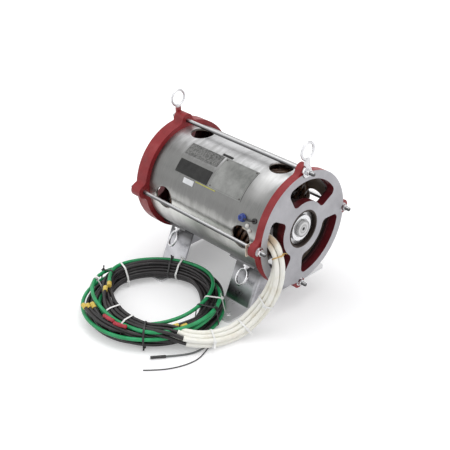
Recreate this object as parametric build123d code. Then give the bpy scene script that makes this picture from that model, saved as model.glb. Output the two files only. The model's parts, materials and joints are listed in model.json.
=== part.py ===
from build123d import *
import os
from math import cos, degrees, hypot, pi, radians, sin, sqrt, tan

# Open-frame elevator duty motor on two saddle brackets, with its leads in a coil on the floor.
# Millimetres. +X runs along the shaft towards the machined face, +Z is up.
# The origin is where the shaft's axis meets the machined face.

# Overall length and castings
motor_length = 415.0
rim_outside_shell = 12.0
front_rim = 20.0
rear_rim = 34.0
rear_plate = 16.0
spigot_wall = 6.0
spigot_length = 8.0
ear_r = 17.0
ear_blend = 14.0
ear_setback = 4.0
rod_outside_shell = 15.5
window_inside_shell = 8.0
window_inner_r = 67.0
front_window_count = 3
front_window_span = 88.0
front_window_first = 73.5
rear_window_count = 4
rear_window_span = 50.0
rear_window_first = 0.0
window_corner = 13.0
hub_r = 58.0
hub_behind = 20.0
rib_thickness = 12.0
rib_low = 4.0
rib_below_hub = 2.0
rib_into_hub = 12.0
spigot_clearance = 1.0

# Shell
shell_r = 128.0
shell_wall = 5.0
cutout_r = 28.0
cutout_from_bracket = 53.0
cutout_angles = (0, 90, 180, 270)

# Tie rods, nuts and washers
rod_r = 4.76
rod_hole_gap = 0.5
rod_past_nut = 11.0
nut_flats = 14.3
nut_thickness = 8.4
washer_r = 10.3
washer_thickness = 1.6

# Lifting eyes, each a ring forged in one with a flat foot
eye_r = 19.5
eye_wire_r = 3.1
eye_height = 49.5
eye_foot_r = 13.5
eye_foot_thickness = 6.0
eye_neck_width = 13.0

# Bearings
bearing_bore_r = 22.5
bearing_outer_r = 42.5
bearing_width = 19.0
bearing_ring_wall = 5.4
ball_r = 6.35
ball_count = 9
ball_gap = 0.15
cage_thickness = 2.0
cage_width = 9.0
shield_thickness = 0.8
shield_gap = 0.6
seat_lip = 5.0
spot_face_gap = 1.0
front_seat_depth = 12.0
rear_wall = 12.0
spring_thickness = 2.4
circlip_thickness = 2.5
circlip_groove = 2.2
circlip_width = 5.0

# Shaft
stub_r = 20.0
collar_r = 31.0
collar_setback = 6.0
collar_thickness = 5.6
centre_hole_r = 3.5
shaft_shoulder_r = 27.0
rotor_seat_r = 31.0
key_width = 10.0
key_height = 8.0

# Stator and rotor
core_length = 170.0
core_from_face = 118.0
stator_bore_r = 75.0
slot_count = 24
slot_width = 8.0
slot_depth = 23.0
winding_clearance = 0.4
winding_gap_to_core = 11.0
end_turn_length = 38.0
end_turn_inner_r = 83.0
end_turn_inside_shell = 10.0
end_turn_round = 11.0
air_gap = 0.6
end_ring_length = 14.0
end_ring_inner_r = 46.0
blade_count = 10
blade_length = 16.0
blade_thickness = 4.0
blade_inner_r = 50.0
blade_first = 9.0
ring_below_core = 1.0
blade_below_core = 2.0

# Saddle brackets
shaft_height = 210.0
saddle_sheet = 5.0
saddle_length = 79.0
saddle_from_face = 65.0
saddle_from_back = 37.0
saddle_grip_angle = 28.0
saddle_top_in = 28.0
saddle_foot_half = 105.0
saddle_bend = 9.0
foot_width = 67.0
foot_corner = 12.0
foot_hole_r = 5.5
foot_hole_in = 20.0
foot_hole_half_spacing = 150.0
flange_span_angle = 15.0
web_slot_half = 12.0

# Lower eyebolts
bolt_angle = -126.0
bolt_in = 33.0
bolt_collar_r = 9.0
bolt_collar_thickness = 4.0
bolt_ring_out = 29.0
bolt_inside = 2.0
bolt_twists = (18.0, 26.0)

# Plates on the shell: first and last x, first and last angle
plate_thickness = 0.8
plate_gap = 0.1
rating_plate_x = (-97.0, -199.0)
rating_plate_angles = (110.0, 146.5)
textured_plate_x = (-206.0, -312.0)
textured_plate_angles = (110.0, 124.5)
dark_plate_x = (-205.0, -310.0)
dark_plate_angles = (131.0, 146.0)
dark_strip_x = (-186.0, -218.0)
dark_strip_angles = (106.2, 109.0)
pale_label_x = (-242.0, -275.0)
pale_label_angles = (148.2, 153.8)
strip_label_x = (-174.0, -238.0)
strip_label_angles = (147.0, 148.0)
rivet_r = 1.8
rivet_head = 1.0
rivet_inset = 5.0

# Plug, sensor wire, grommet, sealant and tag
plug_x = -75.0
plug_angle = 159.0
plug_r = 11.0
plug_height = 9.0
plug_stem_r = 8.0
wire_hole_x = -41.0
wire_hole_angle = 157.0
wire_hole_r = 4.0
wire_r = 1.4
grommet_r = 6.5
grommet_height = 2.0
sealant_r = 5.0
sealant_x = (-57.0, -48.0)
sealant_angles = (164.5, 168.5)
tag_x = -33.0
tag_width = 20.0
tag_height = 30.0
tag_thickness = 1.2

# Leads: six sleeves in a bundle of three by two
sleeve_r = 6.0
sleeve_pitch = 12.8
sleeve_columns = 3
sleeve_rows = 2
bundle_route = [
    (-79.0, -97.0, 14.0),
    (-36.0, -98.0, 12.0),
    (0.0, -99.0, 2.0),
    (20.0, -103.0, -22.0),
    (27.0, -110.0, -56.0),
    (20.0, -119.0, -106.0),
    (-2.0, -140.0, -161.0),
    (-16.0, -190.0, -195.0),
    (-32.0, -249.0, -194.0),
    (-58.0, -300.0, -180.0),
    (-95.0, -325.0, -165.0),
]
coil_centre = (-227.0, -257.0)
coil_turn = 45.3
coil_outer = (171.0, 158.0)
coil_inner = (103.0, 106.0)
coil_height = 44.5
coil_round = 13.0
tie_thickness = 1.3
tie_width = 4.6
tie_gap = 0.1
foot_gap = 0.3
white_tie_turns = (128.0, 66.0, 160.0, -8.0)
black_tie_turns = (78.0, -98.0, 147.0, -24.0)
sleeve_tie_stations = (5.45, 6.7, 8.1)
sleeve_tie_gap = 0.98
lacing_station = 2.74
lacing_thickness = 1.5
lacing_width = 4.5
lacing_gap = 1.08
cap_r = 5.6
cap_length = 15.0
cap_places = (
    (200.0, 0.44),
    (200.0, 0.62),
    (200.0, 0.80),
    (180.0, 0.24),
    (169.0, 0.22),
    (-50.0, 0.42),
    (-42.0, 0.22),
)
splice_r = 4.6
splice_length = 30.0
splice_places = ((-136.0, 0.58), (-119.0, 0.52))
thermistor_r = 2.2
thin_wire_r = 1.3
shrink_r = 3.4
shrink_length = 34.0
thermistor_route = [
    (-36.0, -272.0, -205.1),
    (-37.0, -289.0, -206.6),
    (-43.0, -308.0, -207.4),
    (-57.0, -332.0, -207.2),
    (-73.0, -354.0, -206.5),
]
thin_wire_route = [
    (-30.0, -268.0, -206.1),
    (-24.0, -287.0, -207.6),
    (-19.0, -308.0, -208.4),
    (-22.0, -336.0, -208.3),
    (-34.0, -367.0, -208.5),
    (-52.0, -395.0, -208.3),
    (-74.0, -418.0, -208.5),
]

# Places worked out from the sizes above
shell_inner_r = shell_r - shell_wall
bracket_r = shell_r + rim_outside_shell
rod_circle_r = shell_r + rod_outside_shell
window_outer_r = shell_r - window_inside_shell
end_turn_outer_r = shell_inner_r - end_turn_inside_shell
shell_front = -front_rim
shell_rear = -(motor_length - rear_rim)
floor_z = -shaft_height
core_front = -core_from_face
core_rear = core_front - core_length
slot_bottom_r = stator_bore_r + slot_depth
rotor_r = stator_bore_r - air_gap
front_bearing_x = -front_seat_depth
front_bearing_end = front_bearing_x - bearing_width
rear_bearing_end = -(motor_length - rear_wall)
rear_spring_x = rear_bearing_end + spring_thickness
rear_bearing_x = rear_spring_x + bearing_width
ring_centre_r = (bearing_bore_r + bearing_outer_r) / 2
lip_r = bearing_outer_r - seat_lip
front_hub_end = -(front_rim + hub_behind)
rear_hub_end = rear_bearing_x + 3.0
ear_front = -ear_setback
ear_rear = -(motor_length - ear_setback)
rod_hole_r = rod_r + rod_hole_gap
coil_bottom = floor_z + tie_thickness + tie_gap
coil_top = coil_bottom + coil_height
front_saddle_front = -saddle_from_face
rear_saddle_rear = -(motor_length - saddle_from_back)
flange_first = -90.0 - saddle_grip_angle
flange_last = flange_first - flange_span_angle


def disc(r, x0, x1):
    """Solid round bar along X from x0 to x1."""
    low = min(x0, x1)
    return extrude(Plane.YZ.offset(low) * Circle(r), amount=abs(x1 - x0))


def ring(r_out, r_in, x0, x1):
    return disc(r_out, x0, x1) - disc(r_in, x0, x1)


def prism(sketch, x0, x1):
    """Extrudes a sketch drawn in Y and Z from x0 to x1."""
    low = min(x0, x1)
    return extrude(Plane.YZ.offset(low) * sketch, amount=abs(x1 - x0))


def turned(angle, shape):
    """Turns a shape about the shaft's axis, from +Y towards +Z."""
    return Rot(X=angle) * shape


def around_x(shape, count, first=0.0):
    """Copies a shape evenly round the shaft's axis."""
    return [turned(first + 360.0 * i / count, shape) for i in range(count)]


def revolved(points):
    """Turns an outline of (x, r) points about the X axis."""
    with BuildPart() as body:
        with BuildSketch(Plane.XY):
            with BuildLine():
                Polyline(points, close=True)
            make_face()
        revolve(axis=Axis.X)
    return body.part


def sector(r_out, r_in, first, last):
    """Flat sector of a ring in Y and Z between two angles."""
    reach = r_out * 1.6
    middle = (first + last) / 2
    corners = [(0, 0)]
    for angle in (first, middle, last):
        corners.append((reach * cos(radians(angle)), reach * sin(radians(angle))))
    wedge = make_face(Polyline(corners, close=True))
    return (Circle(r_out) - Circle(r_in)) & wedge


def windows(x0, x1, count, span, first):
    """Kidney windows with rounded corners; the first is centred on the first angle."""
    shape = sector(window_outer_r, window_inner_r, -span / 2, span / 2)
    shape = fillet(shape.vertices(), window_corner)
    return around_x(prism(shape, x0, x1), count, first)


def ribs(x_plate, x_hub, count, window_first):
    """A rib behind each spoke between two windows."""
    return around_x(rib(x_plate, x_hub), count, window_first + 180.0 / count)


def eared_outline():
    """Round outline with four ears blended into it."""
    outline = Circle(bracket_r)
    for angle in (0, 90, 180, 270):
        y = rod_circle_r * cos(radians(angle))
        z = rod_circle_r * sin(radians(angle))
        outline += Pos(y, z) * Circle(ear_r)
    corners = [v for v in outline.vertices() if on_notch(v)]
    return fillet(corners, ear_blend)


def on_notch(vertex):
    """True where an ear's circle meets the bracket's circle."""
    from_rim = abs(hypot(vertex.X, vertex.Y) - bracket_r)
    from_axis = min(abs(vertex.X), abs(vertex.Y))
    return from_rim < 0.01 and from_axis > 1.0


def rod_holes(x0, x1):
    hole = Pos(0, rod_circle_r, 0) * disc(rod_hole_r, x0, x1)
    return around_x(hole, 4)


def spot_faces(x_seat, x_out):
    """Round pockets that give each nut, washer or eye foot a flat seat at the ear."""
    pockets = []
    for angle in (0, 90, 180, 270):
        seat_r = eye_foot_r if angle == 90 else washer_r
        pockets.append(at_rod(angle, disc(seat_r + spot_face_gap, x_seat, x_out)))
    return pockets


def rib(x_plate, x_hub):
    """Tapered rib from the hub to the rim, behind one spoke, drawn along +Y."""
    inner = window_inner_r - rib_into_hub
    outer = shell_inner_r - spigot_wall - spigot_clearance
    side = 1.0 if x_hub > x_plate else -1.0
    points = [
        (x_plate, inner),
        (x_hub - side * rib_below_hub, inner),
        (x_hub - side * rib_below_hub, hub_r + rib_low),
        (x_plate + side * rib_low, outer),
        (x_plate, outer),
    ]
    face = make_face(Polyline(points, close=True))
    return Pos(0, 0, -rib_thickness / 2) * extrude(Plane.XY * face, amount=rib_thickness)


def front_bracket():
    body = disc(bracket_r, 0, -front_rim)
    body += prism(eared_outline(), ear_front, -front_rim)
    body += ring(shell_inner_r, shell_inner_r - spigot_wall, -front_rim, -front_rim - spigot_length)
    body += disc(hub_r, -front_rim, front_hub_end)
    body += ribs(-front_rim, front_hub_end, front_window_count, front_window_first)
    body -= windows(1.0, -front_rim, front_window_count, front_window_span, front_window_first)
    body -= disc(bearing_outer_r, 1.0, front_bearing_end)
    body -= disc(lip_r, front_bearing_end, front_hub_end - 1.0)
    groove_r = bearing_outer_r + circlip_groove
    body -= disc(groove_r, front_bearing_x + circlip_thickness, front_bearing_x)
    body -= spot_faces(ear_front, 1.0)
    body -= rod_holes(1.0, -front_rim - 1.0)
    return body


def rear_bracket():
    plate_front = -(motor_length - rear_plate)
    rim_inner_r = shell_inner_r - spigot_wall
    body = disc(bracket_r, shell_rear, -motor_length)
    body += prism(eared_outline(), shell_rear, ear_rear)
    body -= disc(rim_inner_r, shell_rear + 1.0, plate_front)
    body += ring(shell_inner_r, rim_inner_r, shell_rear, shell_rear + spigot_length)
    body += disc(hub_r, plate_front, rear_hub_end)
    body += ribs(plate_front, rear_hub_end, rear_window_count, rear_window_first)
    body -= windows(plate_front, -motor_length - 1.0, rear_window_count, rear_window_span, rear_window_first)
    body -= disc(bearing_outer_r, rear_hub_end + 1.0, rear_bearing_end)
    body -= spot_faces(ear_rear, -motor_length - 1.0)
    body -= rod_holes(shell_rear + 1.0, -motor_length - 1.0)
    return body


def on_shell(shape, x, angle, radius):
    """Places a shape that stands along +Z so that it stands out of the shell."""
    return Pos(x, 0, 0) * turned(angle - 90.0, Pos(0, 0, radius) * shape)


def upright(r, z0, z1):
    """Round bar along Z."""
    return extrude(Plane.XY.offset(z0) * Circle(r), amount=z1 - z0)


def stator_shell():
    body = ring(shell_r, shell_inner_r, shell_front, shell_rear)
    for x in (shell_front - cutout_from_bracket, shell_rear + cutout_from_bracket):
        for angle in cutout_angles:
            body -= on_shell(upright(cutout_r, -shell_wall * 3, shell_wall * 2), x, angle, shell_r)
    plug_hole = upright(plug_stem_r, -shell_wall * 2, shell_wall)
    body -= on_shell(plug_hole, plug_x, plug_angle, shell_r)
    wire_hole = upright(wire_hole_r, -shell_wall * 2, shell_wall)
    body -= on_shell(wire_hole, wire_hole_x, wire_hole_angle, shell_r)
    for x, angle in bolt_places():
        body -= on_shell(upright(rod_r, -shell_wall * 2, shell_wall), x, angle, shell_r)
    return body


def stator_core():
    body = ring(shell_inner_r, stator_bore_r, core_front, core_rear)
    outline = Pos((stator_bore_r + slot_bottom_r) / 2 - 1.0, 0) * Rectangle(slot_depth + 2.0, slot_width)
    slot = prism(outline, core_front + 1.0, core_rear - 1.0)
    body -= around_x(slot, slot_count)
    return body


def end_turns(x_core, side):
    """Ring of end turns beside the core, rounded where it faces the bracket."""
    x_near = x_core + side * winding_gap_to_core
    x_far = x_near + side * end_turn_length
    body = ring(end_turn_outer_r, end_turn_inner_r, x_near, x_far)
    far_edges = [e for e in body.edges().filter_by(GeomType.CIRCLE) if abs(e.center().X - x_far) < 0.1]
    return fillet(far_edges, end_turn_round)


def stator_winding():
    """Coil sides in every slot, joined by the two rings of end turns."""
    width = slot_width - 2 * winding_clearance
    inner = end_turn_inner_r - 4.0
    outer = slot_bottom_r - winding_clearance
    outline = Pos((inner + outer) / 2, 0) * Rectangle(outer - inner, width)
    reach = winding_gap_to_core + 3.0
    side = prism(outline, core_front + reach, core_rear - reach)
    body = end_turns(core_front, 1) + end_turns(core_rear, -1)
    body += around_x(side, slot_count)
    return body


def shaft():
    points = [
        (0, 0),
        (0, stub_r),
        (-collar_setback, stub_r),
        (-collar_setback, bearing_bore_r),
        (front_bearing_end, bearing_bore_r),
        (front_bearing_end, shaft_shoulder_r),
        (core_front + end_ring_length, shaft_shoulder_r),
        (core_front + end_ring_length, rotor_seat_r),
        (core_rear - end_ring_length, rotor_seat_r),
        (core_rear - end_ring_length, shaft_shoulder_r),
        (rear_bearing_x, shaft_shoulder_r),
        (rear_bearing_x, bearing_bore_r),
        (rear_spring_x, bearing_bore_r),
        (rear_spring_x, 0),
    ]
    body = revolved(points)
    centre_hole = Pos(-centre_hole_r / 2, 0, 0) * Rot(Y=-90) * Cone(centre_hole_r, 0.4, centre_hole_r)
    body -= centre_hole
    body -= shaft_key_block(0.0)
    return body


def shaft_key_block(gap):
    """Block of the rotor key, half in the shaft and half in the core."""
    middle = (core_front + core_rear) / 2
    block = Box(core_length - 40.0 - gap, key_width - gap, key_height - gap)
    return Pos(middle, 0, rotor_seat_r) * block


def rotor_core():
    return ring(rotor_r, rotor_seat_r, core_front, core_rear) - shaft_key_block(0.0)


def rotor_end_ring(x_core, side):
    """Cast end ring of the rotor cage with its fan blades."""
    x_ring = x_core + side * end_ring_length
    body = ring(rotor_r - ring_below_core, end_ring_inner_r, x_core, x_ring)
    blade_outer_r = rotor_r - blade_below_core
    blade = Rectangle(blade_outer_r - blade_inner_r, blade_thickness)
    blade = Pos((blade_inner_r + blade_outer_r) / 2, 0) * blade
    body += around_x(prism(blade, x_ring, x_ring + side * blade_length), blade_count, blade_first)
    return body


def ball_groove(x_middle):
    return Pos(x_middle, 0, 0) * Rot(Y=90) * Torus(ring_centre_r, ball_r + ball_gap)


def bearing_outer(x_front):
    """Outer ring with a thin shield at each face."""
    x_rear = x_front - bearing_width
    inner_r = bearing_outer_r - bearing_ring_wall
    shield_r = bearing_bore_r + bearing_ring_wall + shield_gap
    body = ring(bearing_outer_r, inner_r, x_front, x_rear)
    body -= ball_groove(x_front - bearing_width / 2)
    body += ring(inner_r, shield_r, x_front - shield_thickness, x_front - 2 * shield_thickness)
    body += ring(inner_r, shield_r, x_rear + shield_thickness, x_rear + 2 * shield_thickness)
    return body


def bearing_inner(x_front):
    x_rear = x_front - bearing_width
    body = ring(bearing_bore_r + bearing_ring_wall, bearing_bore_r, x_front, x_rear)
    return body - ball_groove(x_front - bearing_width / 2)


def bearing_balls(x_front):
    """Balls held by their cage, as the one set that rolls round together."""
    x_middle = x_front - bearing_width / 2
    half = cage_thickness / 2
    cage = ring(ring_centre_r + half, ring_centre_r - half, cage_width / 2, -cage_width / 2)
    cage = Pos(x_middle, 0, 0) * cage
    ball = Pos(x_middle, ring_centre_r, 0) * Sphere(ball_r)
    return cage + around_x(ball, ball_count)


def retaining_ring():
    """Snap ring in the groove in front of the bearing, open at the top with two lugs."""
    outer = bearing_outer_r + circlip_groove - 0.2
    inner = bearing_outer_r - circlip_width + circlip_groove
    x_rear = front_bearing_x
    x_front = x_rear + circlip_thickness
    body = ring(outer, inner, x_rear, x_front)
    gap = Pos((x_rear + x_front) / 2, 0, outer) * Box(circlip_thickness * 2, 7.0, 20.0)
    body -= turned(-16.0, gap)
    for angle in (60.0, 88.0):
        y = (inner + 0.5) * cos(radians(angle))
        z = (inner + 0.5) * sin(radians(angle))
        body += Pos(0, y, z) * (disc(3.2, x_rear, x_front) - disc(1.1, x_rear, x_front))
    return body


def shaft_collar():
    return ring(collar_r, bearing_bore_r, -collar_setback, -collar_setback - collar_thickness)


def wave_spring():
    outer = bearing_outer_r - 0.5
    return ring(outer, lip_r - 1.0, rear_spring_x, rear_bearing_end)


def front_stack():
    """Face that each front nut seats on: the eye's foot on top, washers on the others."""
    return [
        (90, ear_front + eye_foot_thickness),
        (0, ear_front + washer_thickness),
        (180, ear_front + washer_thickness),
        (270, ear_front + washer_thickness),
    ]


def rear_stack():
    return [
        (90, ear_rear - eye_foot_thickness),
        (0, ear_rear - washer_thickness),
        (180, ear_rear - washer_thickness),
        (270, ear_rear - washer_thickness),
    ]


def nut(x0, x1):
    hexagon = RegularPolygon(nut_flats / 2, 6, major_radius=False)
    return prism(hexagon - Circle(rod_r), x0, x1)


def at_rod(angle, shape):
    return turned(angle, Pos(0, rod_circle_r, 0) * shape)


def tie_rods():
    rods = []
    for (angle, front), (_, rear) in zip(front_stack(), rear_stack()):
        x_front = front + nut_thickness + rod_past_nut
        x_rear = rear - nut_thickness - rod_past_nut / 2
        rods.append(at_rod(angle, disc(rod_r, x_rear, x_front)))
    return rods


def front_nuts():
    return [at_rod(angle, nut(x, x + nut_thickness)) for angle, x in front_stack()]


def rear_nuts():
    return [at_rod(angle, nut(x, x - nut_thickness)) for angle, x in rear_stack()]


def rod_washers():
    washers = []
    for angle in (0, 180, 270):
        washers.append(at_rod(angle, ring(washer_r, rod_r, ear_front, ear_front + washer_thickness)))
        washers.append(at_rod(angle, ring(washer_r, rod_r, ear_rear, ear_rear - washer_thickness)))
    return washers


def lifting_eye(x_seat, side):
    """Forged ring standing on a flat foot that the top tie rod goes through."""
    x_far = x_seat + side * eye_foot_thickness
    x_middle = (x_seat + x_far) / 2
    foot = Pos(0, 0, rod_circle_r) * disc(eye_foot_r, x_seat, x_far)
    neck_height = eye_height - eye_r
    neck = Pos(x_middle, 0, rod_circle_r + neck_height / 2)
    neck *= Box(eye_foot_thickness, eye_neck_width, neck_height)
    loop = Pos(x_middle, 0, rod_circle_r + eye_height) * Rot(Y=90) * Torus(eye_r, eye_wire_r)
    body = foot + neck + loop
    body -= Pos(0, 0, rod_circle_r) * disc(rod_r, x_seat - 20.0, x_seat + 20.0)
    return body


def bolt_places():
    """x and angle of each lower eyebolt."""
    front_x = front_saddle_front - bolt_in
    rear_x = rear_saddle_rear + bolt_in + 9.0
    return [
        (front_x, bolt_angle),
        (rear_x, bolt_angle),
        (front_x, -180.0 - bolt_angle),
        (rear_x, -180.0 - bolt_angle),
    ]


def lower_eyebolts():
    """Eyebolts through the saddle's top flange into the shell, rings hanging outside the walls."""
    bolts = []
    for (x, angle), twist in zip(bolt_places(), bolt_twists * 2):
        seat = saddle_sheet
        collar_top = seat + bolt_collar_thickness
        shank = upright(rod_r, -shell_wall - bolt_inside, collar_top)
        collar = upright(bolt_collar_r, seat, collar_top)
        neck = upright(rod_r, collar_top, seat + bolt_ring_out - eye_r)
        loop = Pos(0, 0, seat + bolt_ring_out) * Rot(X=90) * Torus(eye_r, eye_wire_r)
        side = 1.0 if angle < -90.0 else -1.0
        bolt = Rot(Z=side * twist) * (shank + collar + neck + loop)
        bolts.append(on_shell(bolt, x, angle, shell_r))
    return bolts


def saddle(x_front, x_rear, web_at_front, hole_x):
    """Saddle bracket: two splayed walls and a web, with flanges on the shell and feet on the floor."""
    grip_half = shell_r * sin(radians(saddle_grip_angle)) + saddle_sheet / 2
    grip_depth = shell_r * cos(radians(saddle_grip_angle))
    slope = (saddle_foot_half - grip_half) / (shaft_height - grip_depth)
    top = shell_r - saddle_top_in
    top_half = grip_half - slope * (grip_depth - top)
    outline = trapezoid(top_half, -top, saddle_foot_half, floor_z)
    body = prism(outline, x_front, x_rear)
    web_x = x_front if web_at_front else x_rear
    bends = [e for e in body.edges() if is_bend(e, web_x)]
    body = fillet(bends, saddle_bend)
    lean = saddle_sheet * sqrt(1 + slope * slope)
    inner = trapezoid(top_half - lean, -top, saddle_foot_half - lean, floor_z)
    inner += trapezoid(top_half - lean, 0.0, top_half - lean, -top)
    if web_at_front:
        body -= prism(inner, x_front - saddle_sheet, x_rear - 1.0)
    else:
        body -= prism(inner, x_front + 1.0, x_rear + saddle_sheet)
    body -= disc(shell_r, x_front + 1.0, x_rear - 1.0)
    web_cut = Box(saddle_sheet * 4, saddle_foot_half * 2.4, saddle_sheet * 2)
    body -= Pos(web_x, 0, floor_z) * web_cut
    for side in (1.0, -1.0):
        body += foot(side, x_front, x_rear)
        body += top_flange(side, x_front, x_rear)
        bolt_hole = upright(foot_hole_r, floor_z - saddle_sheet, floor_z + saddle_sheet * 2)
        body -= Pos(hole_x, side * foot_hole_half_spacing, 0) * bolt_hole
    rod_slot = Pos(web_x, 0, -rod_circle_r) * Box(saddle_sheet * 4, web_slot_half * 2, web_slot_half * 2)
    body -= rod_slot
    for x, angle in bolt_places():
        body -= on_shell(upright(rod_r, -1.0, saddle_sheet * 2), x, angle, shell_r)
    return body


def trapezoid(top_half, top_z, bottom_half, bottom_z):
    points = [(-bottom_half, bottom_z), (bottom_half, bottom_z), (top_half, top_z), (-top_half, top_z)]
    return make_face(Polyline(points, close=True))


def is_bend(edge, web_x):
    """True for the two sloping corner edges of the web."""
    a = edge.start_point()
    b = edge.end_point()
    in_web = abs(a.X - web_x) < 0.01 and abs(b.X - web_x) < 0.01
    return in_web and abs(a.Z - b.Z) > 1.0


def foot(side, x_front, x_rear):
    """Foot flange turned outwards, with its two free corners rounded."""
    inner = saddle_foot_half - saddle_sheet
    outer = saddle_foot_half + foot_width
    plate = Pos((x_front + x_rear) / 2, side * (inner + outer) / 2, floor_z + saddle_sheet / 2)
    plate *= Box(x_front - x_rear, outer - inner, saddle_sheet)
    corners = [e for e in plate.edges().filter_by(Axis.Z) if abs(e.center().Y) > outer - 1.0]
    return fillet(corners, foot_corner)


def top_flange(side, x_front, x_rear):
    """Flange rolled to the shell, outside the top of each wall."""
    first = flange_first if side < 0 else -180.0 - flange_last
    last = flange_last if side < 0 else -180.0 - flange_first
    return prism(sector(shell_r + saddle_sheet, shell_r, last, first), x_front, x_rear)


def shell_plate(ends, angles):
    """Thin plate that lies on the shell."""
    inner = shell_r + plate_gap
    return prism(sector(inner + plate_thickness, inner, angles[0], angles[1]), ends[0], ends[1])


def plate_rivets():
    """A rivet head in each corner of the rating plate."""
    x_front, x_rear = rating_plate_x
    first, last = rating_plate_angles
    inset = degrees(rivet_inset / shell_r)
    rivets = []
    for x in (x_front - rivet_inset, x_rear + rivet_inset):
        for angle in (first + inset, last - inset):
            head = upright(rivet_r, 0.0, rivet_head)
            rivets.append(on_shell(head, x, angle, shell_r + plate_gap + plate_thickness))
    return rivets


def inspection_plug():
    head = upright(plug_r, 0.3, plug_height)
    head = fillet(head.edges().sort_by(Axis.Z)[-1], 2.5)
    stem = upright(plug_stem_r, -shell_wall - 1.0, 0.3)
    return on_shell(head + stem, plug_x, plug_angle, shell_r)


def wire_grommet():
    bead = upright(grommet_r, 0.2, grommet_height)
    neck = upright(wire_hole_r, -shell_wall, 0.2)
    hole = upright(wire_r, -shell_wall * 2, grommet_height * 2)
    return on_shell(bead + neck - hole, wire_hole_x, wire_hole_angle, shell_r)


def sealant_blobs():
    blobs = []
    for x, angle in zip(sealant_x, sealant_angles):
        dome = Sphere(sealant_r) & Pos(0, 0, sealant_r) * Box(sealant_r * 4, sealant_r * 4, sealant_r * 2)
        blobs.append(on_shell(dome, x, angle, shell_r + 0.2))
    return blobs


def shell_point(x, angle, radius):
    return (x, radius * cos(radians(angle)), radius * sin(radians(angle)))


def sensor_wire():
    """Thin wire from the plug's side, arching over to the grommet."""
    start = plug_x + plug_r + 0.4
    step = (wire_hole_x - start) / 3
    route = [
        shell_point(start, plug_angle, shell_r + 5.0),
        shell_point(start + step, plug_angle - 0.4, shell_r + 8.5),
        shell_point(start + 2 * step, plug_angle - 1.1, shell_r + 11.5),
        shell_point(wire_hole_x - 1.0, wire_hole_angle + 0.3, shell_r + 9.0),
        shell_point(wire_hole_x, wire_hole_angle, shell_r + grommet_height),
    ]
    return tube(route, wire_r, "sensor_wire")


def hang_tag():
    """Thin tag hanging on the near tie rod through the hole in its top."""
    outline = RectangleRounded(tag_width, tag_height, 3.0)
    drop = tag_height / 2 - rod_r - 3.0
    outline = Pos(-rod_circle_r, -drop) * outline - Pos(-rod_circle_r, 0) * Circle(rod_r)
    return prism(outline, tag_x, tag_x + tag_thickness)


def between(a, b):
    return Vector(*b) - Vector(*a)


def bend_radii(route):
    """Radius of each corner: as large as its two runs allow."""
    radii = []
    for before, here, after in zip(route, route[1:], route[2:]):
        turn = between(before, here).get_angle(between(here, after))
        shorter = min(between(before, here).length, between(here, after).length)
        radii.append(0.45 * shorter / tan(radians(turn / 2)))
    return radii


def tube(route, r, name):
    """Round tube along straight runs joined by tangent arcs."""
    radii = bend_radii(route)
    path = FilletPolyline(*route, radius=radii)
    start = Plane(origin=route[0], z_dir=between(route[0], route[1]))
    body = sweep(start * Circle(r), path=path)
    length = path.length
    share = body.volume / (pi * r * r * length)
    print(name, "length", round(length, 1), "volume share", round(share, 4))
    print(name, "radii", [round(q, 1) for q in radii])
    return body


def offset_route(route, across, outward):
    """Route beside the bundle's middle line, with every run parallel to the middle's run."""
    ahead = between(route[0], route[1]).normalized()
    side = (Vector(0, 0, 1) - ahead * ahead.Z).normalized()
    shift = side * across + side.cross(ahead) * outward
    shifted = [tuple(Vector(*route[0]) + shift)]
    for before, here, after in zip(route, route[1:], route[2:]):
        come = between(before, here).normalized()
        leave = between(here, after).normalized()
        mitre = come + leave
        at_corner = shift - come * (shift.dot(mitre) / come.dot(mitre))
        shifted.append(tuple(Vector(*here) + at_corner))
        shift = at_corner - leave * at_corner.dot(leave)
    shifted.append(tuple(Vector(*route[-1]) + shift))
    return shifted


def sleeve_routes():
    """Routes of the six sleeves, in columns and rows of the bundle."""
    routes = []
    for row in range(sleeve_rows):
        for column in range(sleeve_columns):
            across = (column - (sleeve_columns - 1) / 2) * sleeve_pitch
            outward = (row - (sleeve_rows - 1) / 2) * sleeve_pitch
            routes.append(offset_route(bundle_route, across, outward))
    return routes


def coil_shape(grow):
    """Outer shape of the tied coil of leads, an oval ring that lies on its ties."""
    outer = Ellipse(coil_outer[0] + grow, coil_outer[1] + grow)
    inner = Ellipse(coil_inner[0] - grow, coil_inner[1] - grow)
    body = extrude(Plane.XY.offset(coil_bottom - grow) * (outer - inner), amount=coil_height + 2 * grow)
    body = fillet(body.edges(), coil_round + grow)
    return Pos(coil_centre[0], coil_centre[1], 0) * Rot(Z=coil_turn) * body


def over_feet(body, gap):
    """Cuts away what would lie lower than a gap above the near feet."""
    for x_front in (front_saddle_front, rear_saddle_rear + saddle_length):
        block = Box(saddle_length + 2 * gap, foot_width + 2 * gap, saddle_sheet * 2 + 2 * gap)
        y = -(saddle_foot_half + foot_width / 2)
        body -= Pos(x_front - saddle_length / 2, y, floor_z) * block
    return body


def lead_coil():
    return over_feet(coil_shape(0.0), foot_gap + tie_thickness + tie_gap)


def coil_ties(turns):
    """Cable ties that go right round the coil, under it too."""
    middle = ((coil_outer[0] + coil_inner[0]) / 2, (coil_outer[1] + coil_inner[1]) / 2)
    slab_length = 2 * (coil_outer[0] - coil_inner[0])
    outside = over_feet(coil_shape(tie_gap + tie_thickness), foot_gap)
    band = outside - over_feet(coil_shape(tie_gap), foot_gap + tie_thickness)
    ties = []
    for turn in turns:
        x = middle[0] * cos(radians(turn))
        y = middle[1] * sin(radians(turn))
        slab = Rot(Z=turn) * Box(slab_length, tie_width, 2 * coil_height)
        slab = Pos(x, y, coil_bottom + coil_height / 2) * slab
        slab = Pos(coil_centre[0], coil_centre[1], 0) * Rot(Z=coil_turn) * slab
        ties.append(band & slab)
    return ties


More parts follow.
